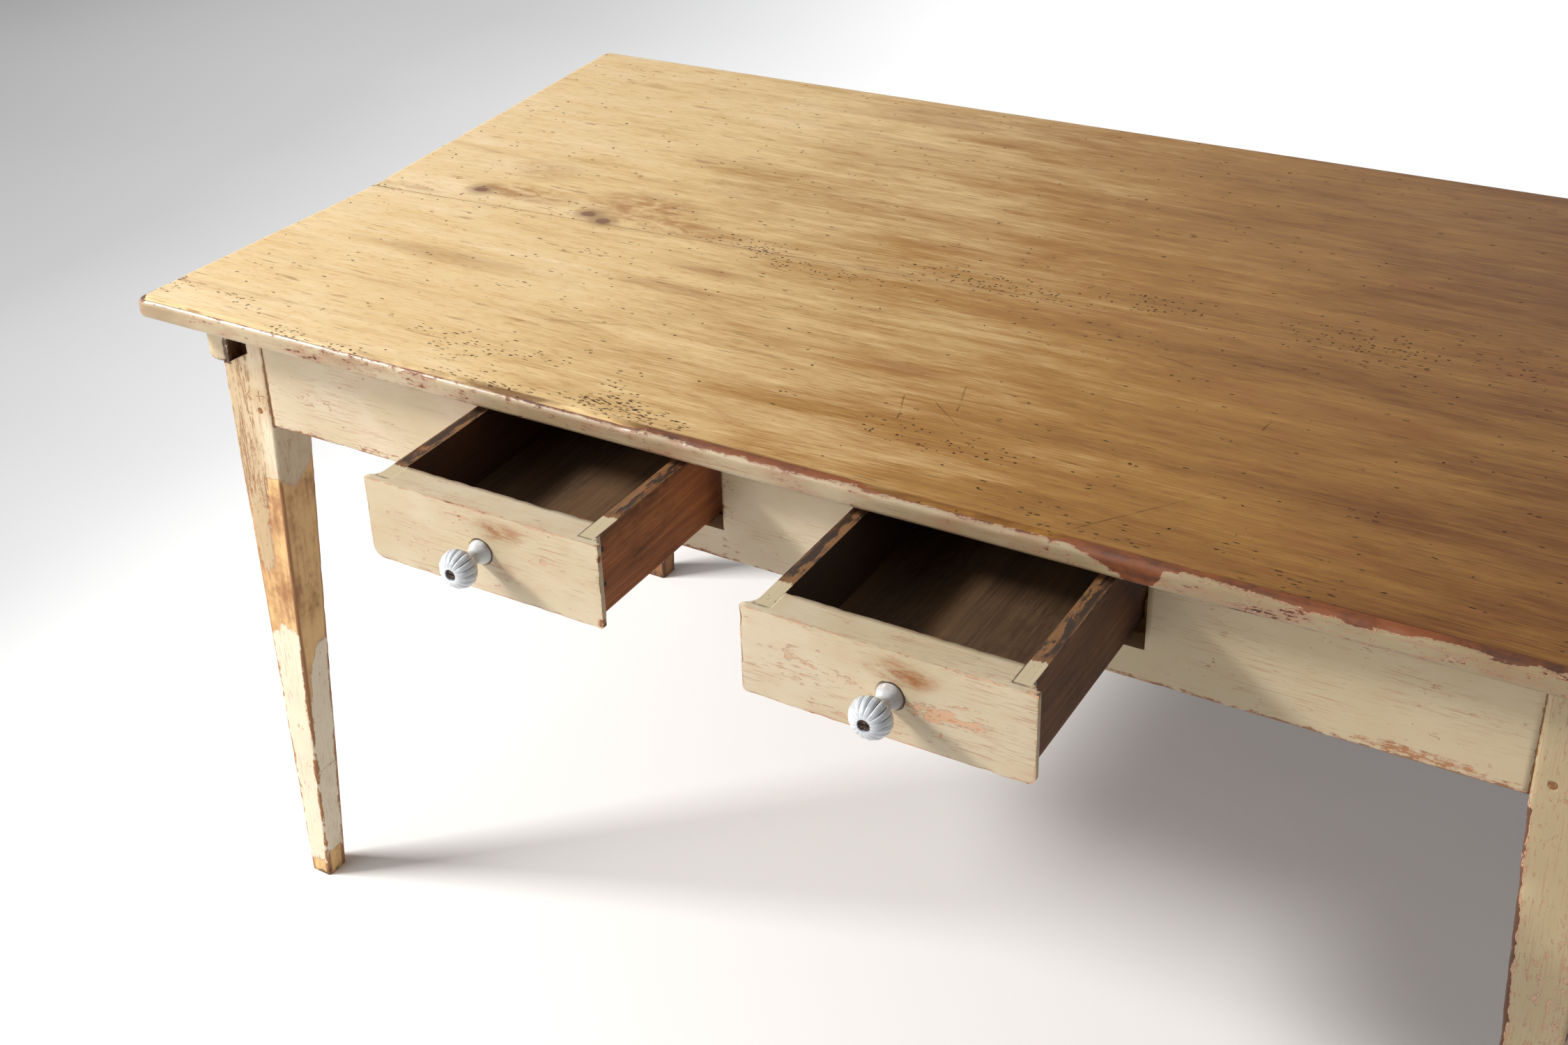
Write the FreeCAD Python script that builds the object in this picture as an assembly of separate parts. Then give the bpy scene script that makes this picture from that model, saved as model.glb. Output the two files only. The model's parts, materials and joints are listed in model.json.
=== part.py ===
import FreeCAD, Part
import os
from collections import namedtuple
from FreeCAD import Vector

# A painted kitchen table with a bare top of two boards and two side-by-side drawers, shown pulled out.
# Millimetres. X runs along the table, Y from front to back, Z up. The origin is on the floor, under the
# middle of the whole outline with the drawers as they stand open.

# --- Table as a whole ---
TABLE_LENGTH = 1500.0
TABLE_DEPTH = 870.0
TABLE_HEIGHT = 770.0

# --- Top: two boards, glued along a joint that isn't quite parallel to the front edge ---
TOP_THICKNESS = 23.0
END_OVERHANG = 65.0
FRONT_OVERHANG = 50.0
BACK_OVERHANG = 50.0
FRONT_BOARD_LEFT_WIDTH = 350.0
FRONT_BOARD_RIGHT_WIDTH = 441.0
LEFT_END_HOLLOW = 22.0
TOP_CORNER_RADIUS = 12.0
NOSING_UPPER_RADIUS = 9.0
NOSING_LOWER_RADIUS = 6.0

# --- Legs: square above, tapered on the two inner faces below the aprons ---
LEG_WIDTH = 59.0
LEG_DEPTH = 58.0
FOOT_WIDTH = 28.0
FOOT_DEPTH = 30.0
LEG_ARRIS = 2.0
LEG_PROUD = 2.0
RELIEF_START = 4.0
RELIEF_WIDTH = 29.0
RELIEF_LOW_RISE = 2.0
RELIEF_HIGH_RISE = 18.0
RELIEF_DEPTH = 20.0

# --- Aprons and their joints ---
APRON_HEIGHT = 123.0
APRON_THICKNESS = 22.0
SILL_HEIGHT = 31.0
TENON_THICKNESS = 8.0
TENON_LENGTH = 30.0
TENON_SHOULDER = 10.0
TENON_PEG_RADIUS = 3.5
TENON_PEG_INSET = 15.0
TENON_PEG_RISE = 16.0
TENON_PEG_LENGTH = 22.0

# --- Battens under the ends of the top, let into the legs and dovetailed into the top ---
BATTEN_THICKNESS = 25.0
BATTEN_HEIGHT = 59.0
BATTEN_LET_IN = 6.0
BATTEN_CORNER_RADIUS = 8.0
DOVETAIL_NECK = 14.0
DOVETAIL_FLARE = 2.0
DOVETAIL_HEIGHT = 7.0
BATTEN_PEG_RADIUS = 5.0
BATTEN_PEG_INSET = 190.0
BATTEN_PEG_RISE = 15.0

# --- Drawers ---
DRAWER_LENGTH = 430.0
DRAWER_FRONT_WIDTH = 251.0
DRAWER_FRONT_HEIGHT = 82.0
DRAWER_FRONT_THICKNESS = 32.0
DRAWER_LIP = 9.5
LIP_EDGE = 5.0
COVE_LENGTH = 13.0
COVE_SAG = 2.5
SIDE_THICKNESS = 14.0
SIDE_START = 8.0
SIDE_LIFT = 4.2
BACK_THICKNESS = 12.0
BACK_INSET = 6.0
BACK_DROP = 5.0
BOTTOM_THICKNESS = 6.6
GROOVE_DEPTH = 5.0
GROOVE_RISE = 6.0

Drawer = namedtuple("Drawer", "name centre pull knob_shift left_corner right_corner")
DRAWERS = (
    Drawer("left_drawer", -202.0, 185.0, 0.0, 12.0, 2.0),
    Drawer("right_drawer", 196.0, 203.0, 6.0, 5.0, 7.0),
)

# --- Runners, guides and stops inside the base ---
RUNNER_WIDTH = 32.0
RUNNER_HEIGHT = 20.0
RUNNER_TENON_LENGTH = 8.0
RUNNER_TENON_HEIGHT = 11.0
GUIDE_HEIGHT = 20.0
STOP_LENGTH = 40.0
STOP_HEIGHT = 16.0

# --- Glazed knobs, held by one slotted machine screw each ---
KNOB_RISE = 40.5
KNOB_LENGTH = 43.0
KNOB_BASE_RADIUS = 11.5
KNOB_WAIST_RADIUS = 7.2
KNOB_WAIST_REACH = 12.0
KNOB_HEAD_RADIUS = 18.0
KNOB_HEAD_REACH = 30.0
KNOB_RIM_RADIUS = 7.6
SCREW_WELL_RADIUS = 5.5
SCREW_WELL_DEPTH = 4.5
SCREW_HEAD_RADIUS = 4.9
SCREW_HEAD_HEIGHT = 3.0
SCREW_SLOT_WIDTH = 1.2
SCREW_SLOT_DEPTH = 1.3
SCREW_RADIUS = 2.0
SCREW_TAIL = 2.0
WASHER_RADIUS = 8.0
WASHER_THICKNESS = 1.2
NUT_SIZE = 9.0
NUT_THICKNESS = 4.0

# --- Cut nails ---
NAIL_RADIUS = 1.3
NAIL_HEAD_RADIUS = 2.6
NAIL_HEAD_THICKNESS = 1.0
NAIL_LENGTH = 36.0
BOTTOM_NAIL_LENGTH = 26.0
BOTTOM_NAIL_SPACING = 70.0
NAIL_SETBACK = 19.5
NAIL_LOW_RISE = 31.0
NAIL_HIGH_RISE = 66.0
RUNNER_NAIL_BITE = 14.0
GUIDE_NAIL_INSET = 90.0

# --- Clearances ---
MOUTH_CLEARANCE = 5.5
SILL_CLEARANCE = 0.8
RUNNER_CLEARANCE = 0.3
GUIDE_CLEARANCE = 1.0
STOP_CLEARANCE = 0.5
FRONT_CLEARANCE = 3.0
JOINT_CLEARANCE = 0.1
GROOVE_CLEARANCE = 0.4
SCREW_CLEARANCE = 0.3

# --- Levels ---
TOP_UNDERSIDE = TABLE_HEIGHT - TOP_THICKNESS
APRON_BOTTOM = TOP_UNDERSIDE - APRON_HEIGHT
SILL = APRON_BOTTOM + SILL_HEIGHT
BATTEN_BOTTOM = TOP_UNDERSIDE - BATTEN_HEIGHT
FRONT_BOTTOM = SILL + SILL_CLEARANCE
FRONT_TOP = FRONT_BOTTOM + DRAWER_FRONT_HEIGHT
SIDE_BOTTOM = FRONT_BOTTOM + SIDE_LIFT
GROOVE_BOTTOM = SIDE_BOTTOM + GROOVE_RISE
PANEL_TOP = GROOVE_BOTTOM + BOTTOM_THICKNESS
RUNNER_TOP = SIDE_BOTTOM - RUNNER_CLEARANCE
RUNNER_BOTTOM = RUNNER_TOP - RUNNER_HEIGHT

# --- Places along X, from the middle of the table ---
TOP_END = TABLE_LENGTH / 2
LEG_OUTER = TOP_END - END_OVERHANG
LEG_INNER = LEG_OUTER - LEG_WIDTH
SIDE_FACE = LEG_OUTER - BATTEN_LET_IN
BATTEN_OUTER = SIDE_FACE + BATTEN_THICKNESS
DOVETAIL_CENTRE = SIDE_FACE + BATTEN_THICKNESS / 2
SIDE_OUTER = DRAWER_FRONT_WIDTH / 2 - DRAWER_LIP
SIDE_INNER = SIDE_OUTER - SIDE_THICKNESS
RUNNER_OUTER = SIDE_OUTER + RUNNER_WIDTH / 2
RUNNER_INNER = SIDE_OUTER - RUNNER_WIDTH / 2

# --- Places along Y: the front apron's face, and from it everything else ---
BASE_DEPTH = TABLE_DEPTH - FRONT_OVERHANG - BACK_OVERHANG
REACH_FORWARD = max(FRONT_OVERHANG, max(drawer.pull for drawer in DRAWERS) + KNOB_LENGTH)
REACH_BACK = BASE_DEPTH + BACK_OVERHANG
FRONT_FACE = (REACH_FORWARD - REACH_BACK) / 2
BACK_FACE = FRONT_FACE + BASE_DEPTH
MIDDLE_DEPTH = (FRONT_FACE + BACK_FACE) / 2
FRONT_INSIDE = FRONT_FACE + APRON_THICKNESS
BACK_INSIDE = BACK_FACE - APRON_THICKNESS
LEG_FRONT = FRONT_FACE - LEG_PROUD
LEG_BACK = LEG_FRONT + LEG_DEPTH
TOP_FRONT = FRONT_FACE - FRONT_OVERHANG
TOP_BACK = BACK_FACE + BACK_OVERHANG
TENON_OFFSET = (APRON_THICKNESS - TENON_THICKNESS) / 2
CLOSED_DEPTH = max(APRON_THICKNESS, DRAWER_FRONT_THICKNESS) + FRONT_CLEARANCE

X_AXIS = Vector(1, 0, 0)
Y_AXIS = Vector(0, 1, 0)
Z_AXIS = Vector(0, 0, 1)
EXTRA = 1.0


def block(x_range, y_range, z_range):
    """Return a box between two limits along each axis."""
    sizes = [high - low for low, high in (x_range, y_range, z_range)]
    return Part.makeBox(*sizes, Vector(x_range[0], y_range[0], z_range[0]))


def side_block(drawer, side, x_range, y_range, z_range):
    """Return a box beside a drawer, its X limits counted from the drawer's middle towards one side."""
    return block(sorted(drawer.centre + side * x for x in x_range), y_range, z_range)


def prism(points, direction):
    """Return the straight prism of a closed polygon."""
    return Part.Face(Part.makePolygon(points + points[:1])).extrude(direction)


def rod(radius, start, direction, length):
    """Return a round rod from a start point."""
    return Part.makeCylinder(radius, length, start, direction)


def mirrored_in_x(shape):
    """Return the shape's mirror image in the plane across the middle of the table's length."""
    return shape.mirror(Vector(0, 0, 0), X_AXIS)


def mirrored_in_y(shape):
    """Return the shape's mirror image in the plane halfway between the front and back aprons."""
    return shape.mirror(Vector(0, MIDDLE_DEPTH, 0), Y_AXIS)


def edges_where(shape, test):
    """Return the shape's edges whose two end points both pass a test."""
    return [edge for edge in shape.Edges if all(test(vertex.Point) for vertex in edge.Vertexes)]


# --- Top boards ---


def joint_depth(x):
    """Return the Y of the joint between the two top boards at a place along the table."""
    share = (x + TOP_END) / TABLE_LENGTH
    width = FRONT_BOARD_LEFT_WIDTH + share * (FRONT_BOARD_RIGHT_WIDTH - FRONT_BOARD_LEFT_WIDTH)
    return TOP_FRONT + width


def dovetail(x, y_range, clearance):
    """Return a sliding dovetail along Y, standing on the underside of the top and grown by a clearance."""
    neck = DOVETAIL_NECK / 2 + clearance
    flare = neck + DOVETAIL_FLARE
    top = TOP_UNDERSIDE + DOVETAIL_HEIGHT + clearance
    low = TOP_UNDERSIDE
    outline = [(x - neck, low), (x + neck, low), (x + flare, top), (x - flare, top)]
    points = [Vector(across, y_range[0], up) for across, up in outline]
    return prism(points, Y_AXIS * (y_range[1] - y_range[0]))


def top_board(outer_y):
    """Return one board of the top, between its outer long edge and the joint, with its edges rounded."""
    left_joint_x = -TOP_END + LEFT_END_HOLLOW
    left_joint = (left_joint_x, joint_depth(left_joint_x))
    right_joint = (TOP_END, joint_depth(TOP_END))
    outline = [(-TOP_END, outer_y), left_joint, right_joint, (TOP_END, outer_y)]
    points = [Vector(x, y, TOP_UNDERSIDE) for x, y in outline]
    board = prism(points, Z_AXIS * TOP_THICKNESS)

    def on_outer_side(point):
        return abs(point.y - outer_y) < EXTRA

    uprights = [edge for edge in edges_where(board, on_outer_side) if edge.Length < TOP_THICKNESS + EXTRA]
    board = board.makeFillet(TOP_CORNER_RADIUS, uprights)
    for level, radius in ((TABLE_HEIGHT, NOSING_UPPER_RADIUS), (TOP_UNDERSIDE, NOSING_LOWER_RADIUS)):

        def at_level(point):
            return abs(point.z - level) < EXTRA / 2

        def along_joint(edge):
            return all(abs(vertex.Y - joint_depth(vertex.X)) < EXTRA for vertex in edge.Vertexes)

        rim = [edge for edge in edges_where(board, at_level) if not along_joint(edge)]
        board = board.makeFillet(radius, rim)
    for side in (-1, 1):
        groove = dovetail(side * DOVETAIL_CENTRE, (FRONT_FACE, TOP_BACK + EXTRA), JOINT_CLEARANCE)
        board = board.cut(groove)
    return board.removeSplitter()


# --- Legs ---


def leg_section(width, depth, z):
    """Return the leg's outline at one height, with eased corners, its outer front corner held in place."""
    left, right = -LEG_OUTER, -LEG_OUTER + width
    front, back = LEG_FRONT, LEG_FRONT + depth
    ease = LEG_ARRIS
    corners = [
        (left + ease, front),
        (right - ease, front),
        (right, front + ease),
        (right, back - ease),
        (right - ease, back),
        (left + ease, back),
        (left, back - ease),
        (left, front + ease),
    ]
    points = [Vector(x, y, z) for x, y in corners]
    return Part.makePolygon(points + points[:1])


def long_apron_tenon(clearance):
    """Return the front apron's left tenon, grown by a clearance where it sits in its mortise."""
    low = FRONT_FACE + TENON_OFFSET
    return block(
        (-LEG_INNER - TENON_LENGTH - clearance, -LEG_INNER),
        (low - clearance, low + TENON_THICKNESS + clearance),
        (APRON_BOTTOM + TENON_SHOULDER - clearance, TOP_UNDERSIDE - TENON_SHOULDER + clearance),
    )


def side_apron_tenon(clearance):
    """Return the left apron's front tenon, grown by a clearance where it sits in its mortise."""
    low = -SIDE_FACE + TENON_OFFSET
    return block(
        (low - clearance, low + TENON_THICKNESS + clearance),
        (LEG_BACK - TENON_LENGTH - clearance, LEG_BACK),
        (APRON_BOTTOM + TENON_SHOULDER - clearance, TOP_UNDERSIDE - TENON_SHOULDER + clearance),
    )


def long_tenon_peg(clearance):
    """Return the peg through the front left leg's face and the front apron's tenon."""
    start = Vector(-LEG_INNER - TENON_PEG_INSET, LEG_FRONT, APRON_BOTTOM + TENON_PEG_RISE)
    return rod(TENON_PEG_RADIUS + clearance, start, Y_AXIS, TENON_PEG_LENGTH + clearance)


def side_tenon_peg(clearance):
    """Return the peg through the front left leg's outer face and the left apron's tenon."""
    start = Vector(-LEG_OUTER, LEG_BACK - TENON_PEG_INSET, APRON_BOTTOM + TENON_PEG_RISE)
    return rod(TENON_PEG_RADIUS + clearance, start, X_AXIS, TENON_PEG_LENGTH + clearance)


def front_left_leg():
    """Return the front left leg with its mortises, peg holes, batten housing and wedge-shaped relief."""
    head = leg_section(LEG_WIDTH, LEG_DEPTH, TOP_UNDERSIDE)
    shoulder = leg_section(LEG_WIDTH, LEG_DEPTH, APRON_BOTTOM)
    foot = leg_section(FOOT_WIDTH, FOOT_DEPTH, 0)
    upper = Part.makeLoft([shoulder, head], True, True)
    lower = Part.makeLoft([foot, shoulder], True, True)
    housing = block(
        (-LEG_OUTER - EXTRA, -SIDE_FACE),
        (LEG_FRONT - EXTRA, LEG_BACK + EXTRA),
        (BATTEN_BOTTOM, TOP_UNDERSIDE + EXTRA),
    )
    relief_left = -SIDE_FACE + RELIEF_START
    relief_right = relief_left + RELIEF_WIDTH
    relief_outline = [
        (relief_left, TOP_UNDERSIDE + EXTRA),
        (relief_left, BATTEN_BOTTOM + RELIEF_LOW_RISE),
        (relief_right, BATTEN_BOTTOM + RELIEF_HIGH_RISE),
        (relief_right, TOP_UNDERSIDE + EXTRA),
    ]
    relief_points = [Vector(x, LEG_FRONT - EXTRA, z) for x, z in relief_outline]
    relief = prism(relief_points, Y_AXIS * (RELIEF_DEPTH + EXTRA))
    cuts = [housing, relief, long_apron_tenon(JOINT_CLEARANCE), side_apron_tenon(JOINT_CLEARANCE)]
    cuts += [long_tenon_peg(JOINT_CLEARANCE), side_tenon_peg(JOINT_CLEARANCE)]
    return upper.fuse(lower).cut(cuts).removeSplitter()


# --- Aprons ---


def runner_tenons(clearance):
    """Return the two end tenons of each drawer runner, grown by a clearance where they sit in the aprons."""
    tenons = []
    x_range = (RUNNER_INNER - clearance, RUNNER_OUTER + clearance)
    z_range = (RUNNER_BOTTOM - clearance, RUNNER_BOTTOM + RUNNER_TENON_HEIGHT + clearance)
    reach = RUNNER_TENON_LENGTH + clearance
    for drawer in DRAWERS:
        for side in (-1, 1):
            for y_range in ((FRONT_INSIDE - reach, FRONT_INSIDE), (BACK_INSIDE, BACK_INSIDE + reach)):
                tenons.append(side_block(drawer, side, x_range, y_range, z_range))
    return tenons


def back_apron_blank():
    """Return a long apron in the front apron's place, with its tenons and peg holes."""
    apron = block((-LEG_INNER, LEG_INNER), (FRONT_FACE, FRONT_INSIDE), (APRON_BOTTOM, TOP_UNDERSIDE))
    tenon = long_apron_tenon(0).cut(long_tenon_peg(JOINT_CLEARANCE))
    return apron.fuse([tenon, mirrored_in_x(tenon)]).removeSplitter()


def front_apron():
    """Return the front apron, with a mouth for each drawer that is open up to the top."""
    apron = back_apron_blank()
    half_mouth = DRAWER_FRONT_WIDTH / 2 + MOUTH_CLEARANCE
    for drawer in DRAWERS:
        mouth = block(
            (drawer.centre - half_mouth, drawer.centre + half_mouth),
            (FRONT_FACE - EXTRA, FRONT_INSIDE + EXTRA),
            (SILL, TOP_UNDERSIDE + EXTRA),
        )
        apron = apron.cut(mouth)
    return apron.cut(runner_tenons(JOINT_CLEARANCE)).removeSplitter()


def back_apron():
    """Return the back apron, with the housings of the runners' back ends."""
    return mirrored_in_y(back_apron_blank()).cut(runner_tenons(JOINT_CLEARANCE)).removeSplitter()


def batten_pegs(clearance):
    """Return the two pegs that hold the left batten to the left apron."""
    pegs = []
    for y in (FRONT_FACE + BATTEN_PEG_INSET, BACK_FACE - BATTEN_PEG_INSET):
        start = Vector(-BATTEN_OUTER, y, BATTEN_BOTTOM + BATTEN_PEG_RISE)
        pegs.append(rod(BATTEN_PEG_RADIUS + clearance, start, X_AXIS, BATTEN_THICKNESS + APRON_THICKNESS))
    return pegs


def left_apron():
    """Return the left apron between the two left legs, with its tenons and the batten pegs' holes."""
    apron = block(
        (-SIDE_FACE, -SIDE_FACE + APRON_THICKNESS),
        (LEG_BACK, 2 * MIDDLE_DEPTH - LEG_BACK),
        (APRON_BOTTOM, TOP_UNDERSIDE),
    )
    tenon = side_apron_tenon(0).cut(side_tenon_peg(JOINT_CLEARANCE))
    apron = apron.fuse([tenon, mirrored_in_y(tenon)])
    return apron.cut(batten_pegs(JOINT_CLEARANCE)).removeSplitter()


def left_batten():
    """Return the left batten: a bar with a rounded lower outer corner and a dovetail along its top."""
    bar = block((-BATTEN_OUTER, -SIDE_FACE), (FRONT_FACE, BACK_FACE), (BATTEN_BOTTOM, TOP_UNDERSIDE))

    def at_outer_bottom(point):
        return abs(point.x + BATTEN_OUTER) < EXTRA and abs(point.z - BATTEN_BOTTOM) < EXTRA

    bar = bar.makeFillet(BATTEN_CORNER_RADIUS, edges_where(bar, at_outer_bottom))
    key = dovetail(-DOVETAIL_CENTRE, (FRONT_FACE, BACK_FACE), 0)
    return bar.fuse(key).cut(batten_pegs(JOINT_CLEARANCE)).removeSplitter()


# --- Nails ---


def nail(head, direction, length, clearance=0.0):
    """Return a nail driven flush from a head point, or its hole when it is grown by a clearance."""
    shank = rod(NAIL_RADIUS + clearance, head, direction, length + clearance)
    cap = rod(NAIL_HEAD_RADIUS + clearance, head, direction, NAIL_HEAD_THICKNESS + clearance)
    return shank.fuse(cap).removeSplitter()


# --- Runners, guides and stops ---


def guide_nails(drawer, side, clearance=0.0):
    """Return the nails that hold one guide and one stop down on their runner."""
    guide_x = (SIDE_OUTER + GUIDE_CLEARANCE + RUNNER_OUTER) / 2
    stop_x = (RUNNER_INNER + SIDE_OUTER) / 2
    first = FRONT_FACE + CLOSED_DEPTH + GUIDE_NAIL_INSET
    last = BACK_INSIDE - GUIDE_NAIL_INSET
    spots = [(guide_x, y, GUIDE_HEIGHT) for y in (first, (first + last) / 2, last)]
    spots.append((stop_x, stop_start() + STOP_LENGTH / 2, STOP_HEIGHT))
    nails = []
    for x, y, rise in spots:
        head = Vector(drawer.centre + side * x, y, RUNNER_TOP + rise)
        nails.append(nail(head, -Z_AXIS, rise + RUNNER_NAIL_BITE, clearance))
    return nails


def stop_start():
    """Return the Y of the stops' front faces, just behind a closed drawer."""
    return FRONT_FACE + DRAWER_LENGTH + STOP_CLEARANCE


def runner(drawer, side):
    """Return a runner between the front and back aprons, stepped down where the closed drawer front ends."""
    step = RUNNER_BOTTOM + RUNNER_TENON_HEIGHT
    x_range = (RUNNER_INNER, RUNNER_OUTER)
    ends = (FRONT_INSIDE - RUNNER_TENON_LENGTH, BACK_INSIDE + RUNNER_TENON_LENGTH)
    lower = side_block(drawer, side, x_range, ends, (RUNNER_BOTTOM, step))
    upper = side_block(drawer, side, x_range, (FRONT_FACE + CLOSED_DEPTH, BACK_INSIDE), (step, RUNNER_TOP))
    return lower.fuse(upper).cut(guide_nails(drawer, side, JOINT_CLEARANCE)).removeSplitter()


def guide(drawer, side):
    """Return the strip on the runner that keeps the drawer from drifting sideways."""
    strip = side_block(
        drawer,
        side,
        (SIDE_OUTER + GUIDE_CLEARANCE, RUNNER_OUTER),
        (FRONT_FACE + CLOSED_DEPTH, BACK_INSIDE),
        (RUNNER_TOP, RUNNER_TOP + GUIDE_HEIGHT),
    )
    return strip.cut(guide_nails(drawer, side, JOINT_CLEARANCE))


def stop(drawer, side):
    """Return the block on the runner that the closed drawer's side ends against."""
    piece = side_block(
        drawer,
        side,
        (RUNNER_INNER, SIDE_OUTER),
        (stop_start(), stop_start() + STOP_LENGTH),
        (RUNNER_TOP, RUNNER_TOP + STOP_HEIGHT),
    )
    return piece.cut(guide_nails(drawer, side, JOINT_CLEARANCE))


# --- Drawers, built closed and about X = 0, then moved to where they stand open ---


def placed(drawer, shape):
    """Return a drawer's piece moved from the closed place at X = 0 to where the drawer stands."""
    return shape.translated(Vector(drawer.centre, -drawer.pull, 0))


def knob_axis(drawer):
    """Return the point where the knob's axis meets the closed drawer's face."""
    return Vector(drawer.knob_shift, FRONT_FACE, FRONT_BOTTOM + KNOB_RISE)


def arc(start, middle, end):
    """Return the circular arc through three points."""
    return Part.Arc(start, middle, end).toShape()


def rounded_front_outline(drawer):
    """Return the drawer front's face outline, with its two lower corners worn round, as a long prism."""
    half = DRAWER_FRONT_WIDTH / 2
    y_range = (FRONT_FACE - EXTRA, FRONT_FACE + DRAWER_FRONT_THICKNESS + EXTRA)
    slab = block((-half, half), y_range, (FRONT_BOTTOM, FRONT_TOP))
    for x, radius in ((-half, drawer.left_corner), (half, drawer.right_corner)):

        def at_corner(point):
            return abs(point.x - x) < EXTRA and abs(point.z - FRONT_BOTTOM) < EXTRA

        slab = slab.makeFillet(radius, edges_where(slab, at_corner))
    return slab


def drawer_front(drawer):
    """Return the thick front: coved behind its end lips, rabbeted for the sides, grooved for the bottom."""
    half = DRAWER_FRONT_WIDTH / 2
    lip_back = FRONT_FACE + LIP_EDGE
    cove_end = lip_back + COVE_LENGTH
    back = FRONT_FACE + DRAWER_FRONT_THICKNESS
    chord_middle = Vector(SIDE_OUTER + DRAWER_LIP / 2, lip_back + COVE_LENGTH / 2, FRONT_BOTTOM)
    corner = Vector(SIDE_OUTER, lip_back, FRONT_BOTTOM)
    bow = chord_middle + (corner - chord_middle).normalize() * COVE_SAG
    corners = {
        side: [
            Vector(side * half, FRONT_FACE, FRONT_BOTTOM),
            Vector(side * half, lip_back, FRONT_BOTTOM),
            Vector(side * SIDE_OUTER, cove_end, FRONT_BOTTOM),
            Vector(side * SIDE_OUTER, back, FRONT_BOTTOM),
            Vector(side * bow.x, bow.y, FRONT_BOTTOM),
        ]
        for side in (-1, 1)
    }
    left, right = corners[-1], corners[1]
    edges = [
        Part.makeLine(left[0], right[0]),
        Part.makeLine(right[0], right[1]),
        arc(right[1], right[4], right[2]),
        Part.makeLine(right[2], right[3]),
        Part.makeLine(right[3], left[3]),
        Part.makeLine(left[3], left[2]),
        arc(left[2], left[4], left[1]),
        Part.makeLine(left[1], left[0]),
    ]
    front = Part.Face(Part.Wire(edges)).extrude(Z_AXIS * DRAWER_FRONT_HEIGHT)
    front = front.common(rounded_front_outline(drawer))
    cuts = [bottom_groove(SIDE_OUTER)]
    for side in (-1, 1):
        cuts.append(drawer_side_blank(side, FRONT_BOTTOM - EXTRA, FRONT_TOP + EXTRA))
        cuts += side_nails(side, JOINT_CLEARANCE)
    screw_start = knob_axis(drawer) - Y_AXIS * EXTRA
    screw_reach = DRAWER_FRONT_THICKNESS + 2 * EXTRA
    cuts.append(rod(SCREW_RADIUS + SCREW_CLEARANCE, screw_start, Y_AXIS, screw_reach))
    return front.cut(cuts).removeSplitter()


def bottom_groove(half_width):
    """Return the space of the groove that holds the drawer's bottom panel."""
    start = FRONT_FACE + DRAWER_FRONT_THICKNESS - GROOVE_DEPTH
    top = PANEL_TOP + GROOVE_CLEARANCE
    return block((-half_width, half_width), (start, FRONT_FACE + DRAWER_LENGTH + EXTRA), (GROOVE_BOTTOM, top))


def drawer_side_blank(side, bottom, top):
    """Return a plain board where one side of the drawer runs, between two levels."""
    x_range = sorted((side * SIDE_INNER, side * SIDE_OUTER))
    return block(x_range, (FRONT_FACE + SIDE_START, FRONT_FACE + DRAWER_LENGTH), (bottom, top))


def side_nails(side, clearance=0.0):
    """Return the four nails through one side, two into the front and two into the back."""
    back_middle = FRONT_FACE + DRAWER_LENGTH - BACK_INSET - BACK_THICKNESS / 2
    nails = []
    for y in (FRONT_FACE + NAIL_SETBACK, back_middle):
        for rise in (NAIL_LOW_RISE, NAIL_HIGH_RISE):
            head = Vector(side * SIDE_OUTER, y, FRONT_BOTTOM + rise)
            nails.append(nail(head, X_AXIS * -side, NAIL_LENGTH, clearance))
    return nails


def bottom_nails(clearance=0.0):
    """Return the three nails up through the bottom panel into the back."""
    y = FRONT_FACE + DRAWER_LENGTH - BACK_INSET - BACK_THICKNESS / 2
    places = [Vector(step * BOTTOM_NAIL_SPACING, y, GROOVE_BOTTOM) for step in (-1, 0, 1)]
    return [nail(head, Z_AXIS, BOTTOM_NAIL_LENGTH, clearance) for head in places]


def drawer_side(side):
    """Return one side of a drawer, grooved for the bottom panel."""
    board = drawer_side_blank(side, SIDE_BOTTOM, FRONT_TOP)
    cuts = [bottom_groove(SIDE_INNER + GROOVE_DEPTH)] + side_nails(side, JOINT_CLEARANCE)
    return board.cut(cuts).removeSplitter()


def drawer_back():
    """Return the back, which stands on the bottom panel between the sides."""
    rear = FRONT_FACE + DRAWER_LENGTH - BACK_INSET
    z_range = (PANEL_TOP, FRONT_TOP - BACK_DROP)
    board = block((-SIDE_INNER, SIDE_INNER), (rear - BACK_THICKNESS, rear), z_range)
    cuts = side_nails(-1, JOINT_CLEARANCE) + side_nails(1, JOINT_CLEARANCE) + bottom_nails(JOINT_CLEARANCE)
    return board.cut(cuts)


def drawer_bottom():
    """Return the bottom panel, slid into its grooves from behind."""
    half = SIDE_INNER + GROOVE_DEPTH - JOINT_CLEARANCE
    start = FRONT_FACE + DRAWER_FRONT_THICKNESS - GROOVE_DEPTH + JOINT_CLEARANCE
    end = FRONT_FACE + DRAWER_LENGTH - BACK_INSET
    panel = block((-half, half), (start, end), (GROOVE_BOTTOM, PANEL_TOP))
    return panel.cut(bottom_nails(JOINT_CLEARANCE))


# --- Knobs ---


def turned(profile_edges, axis_point):
    """Return the solid of a closed profile turned about an axis that points out of the drawer's face."""
    solid = Part.Face(Part.Wire(profile_edges)).revolve(Vector(0, 0, 0), Y_AXIS, 360)
    return solid.translated(axis_point)


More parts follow.
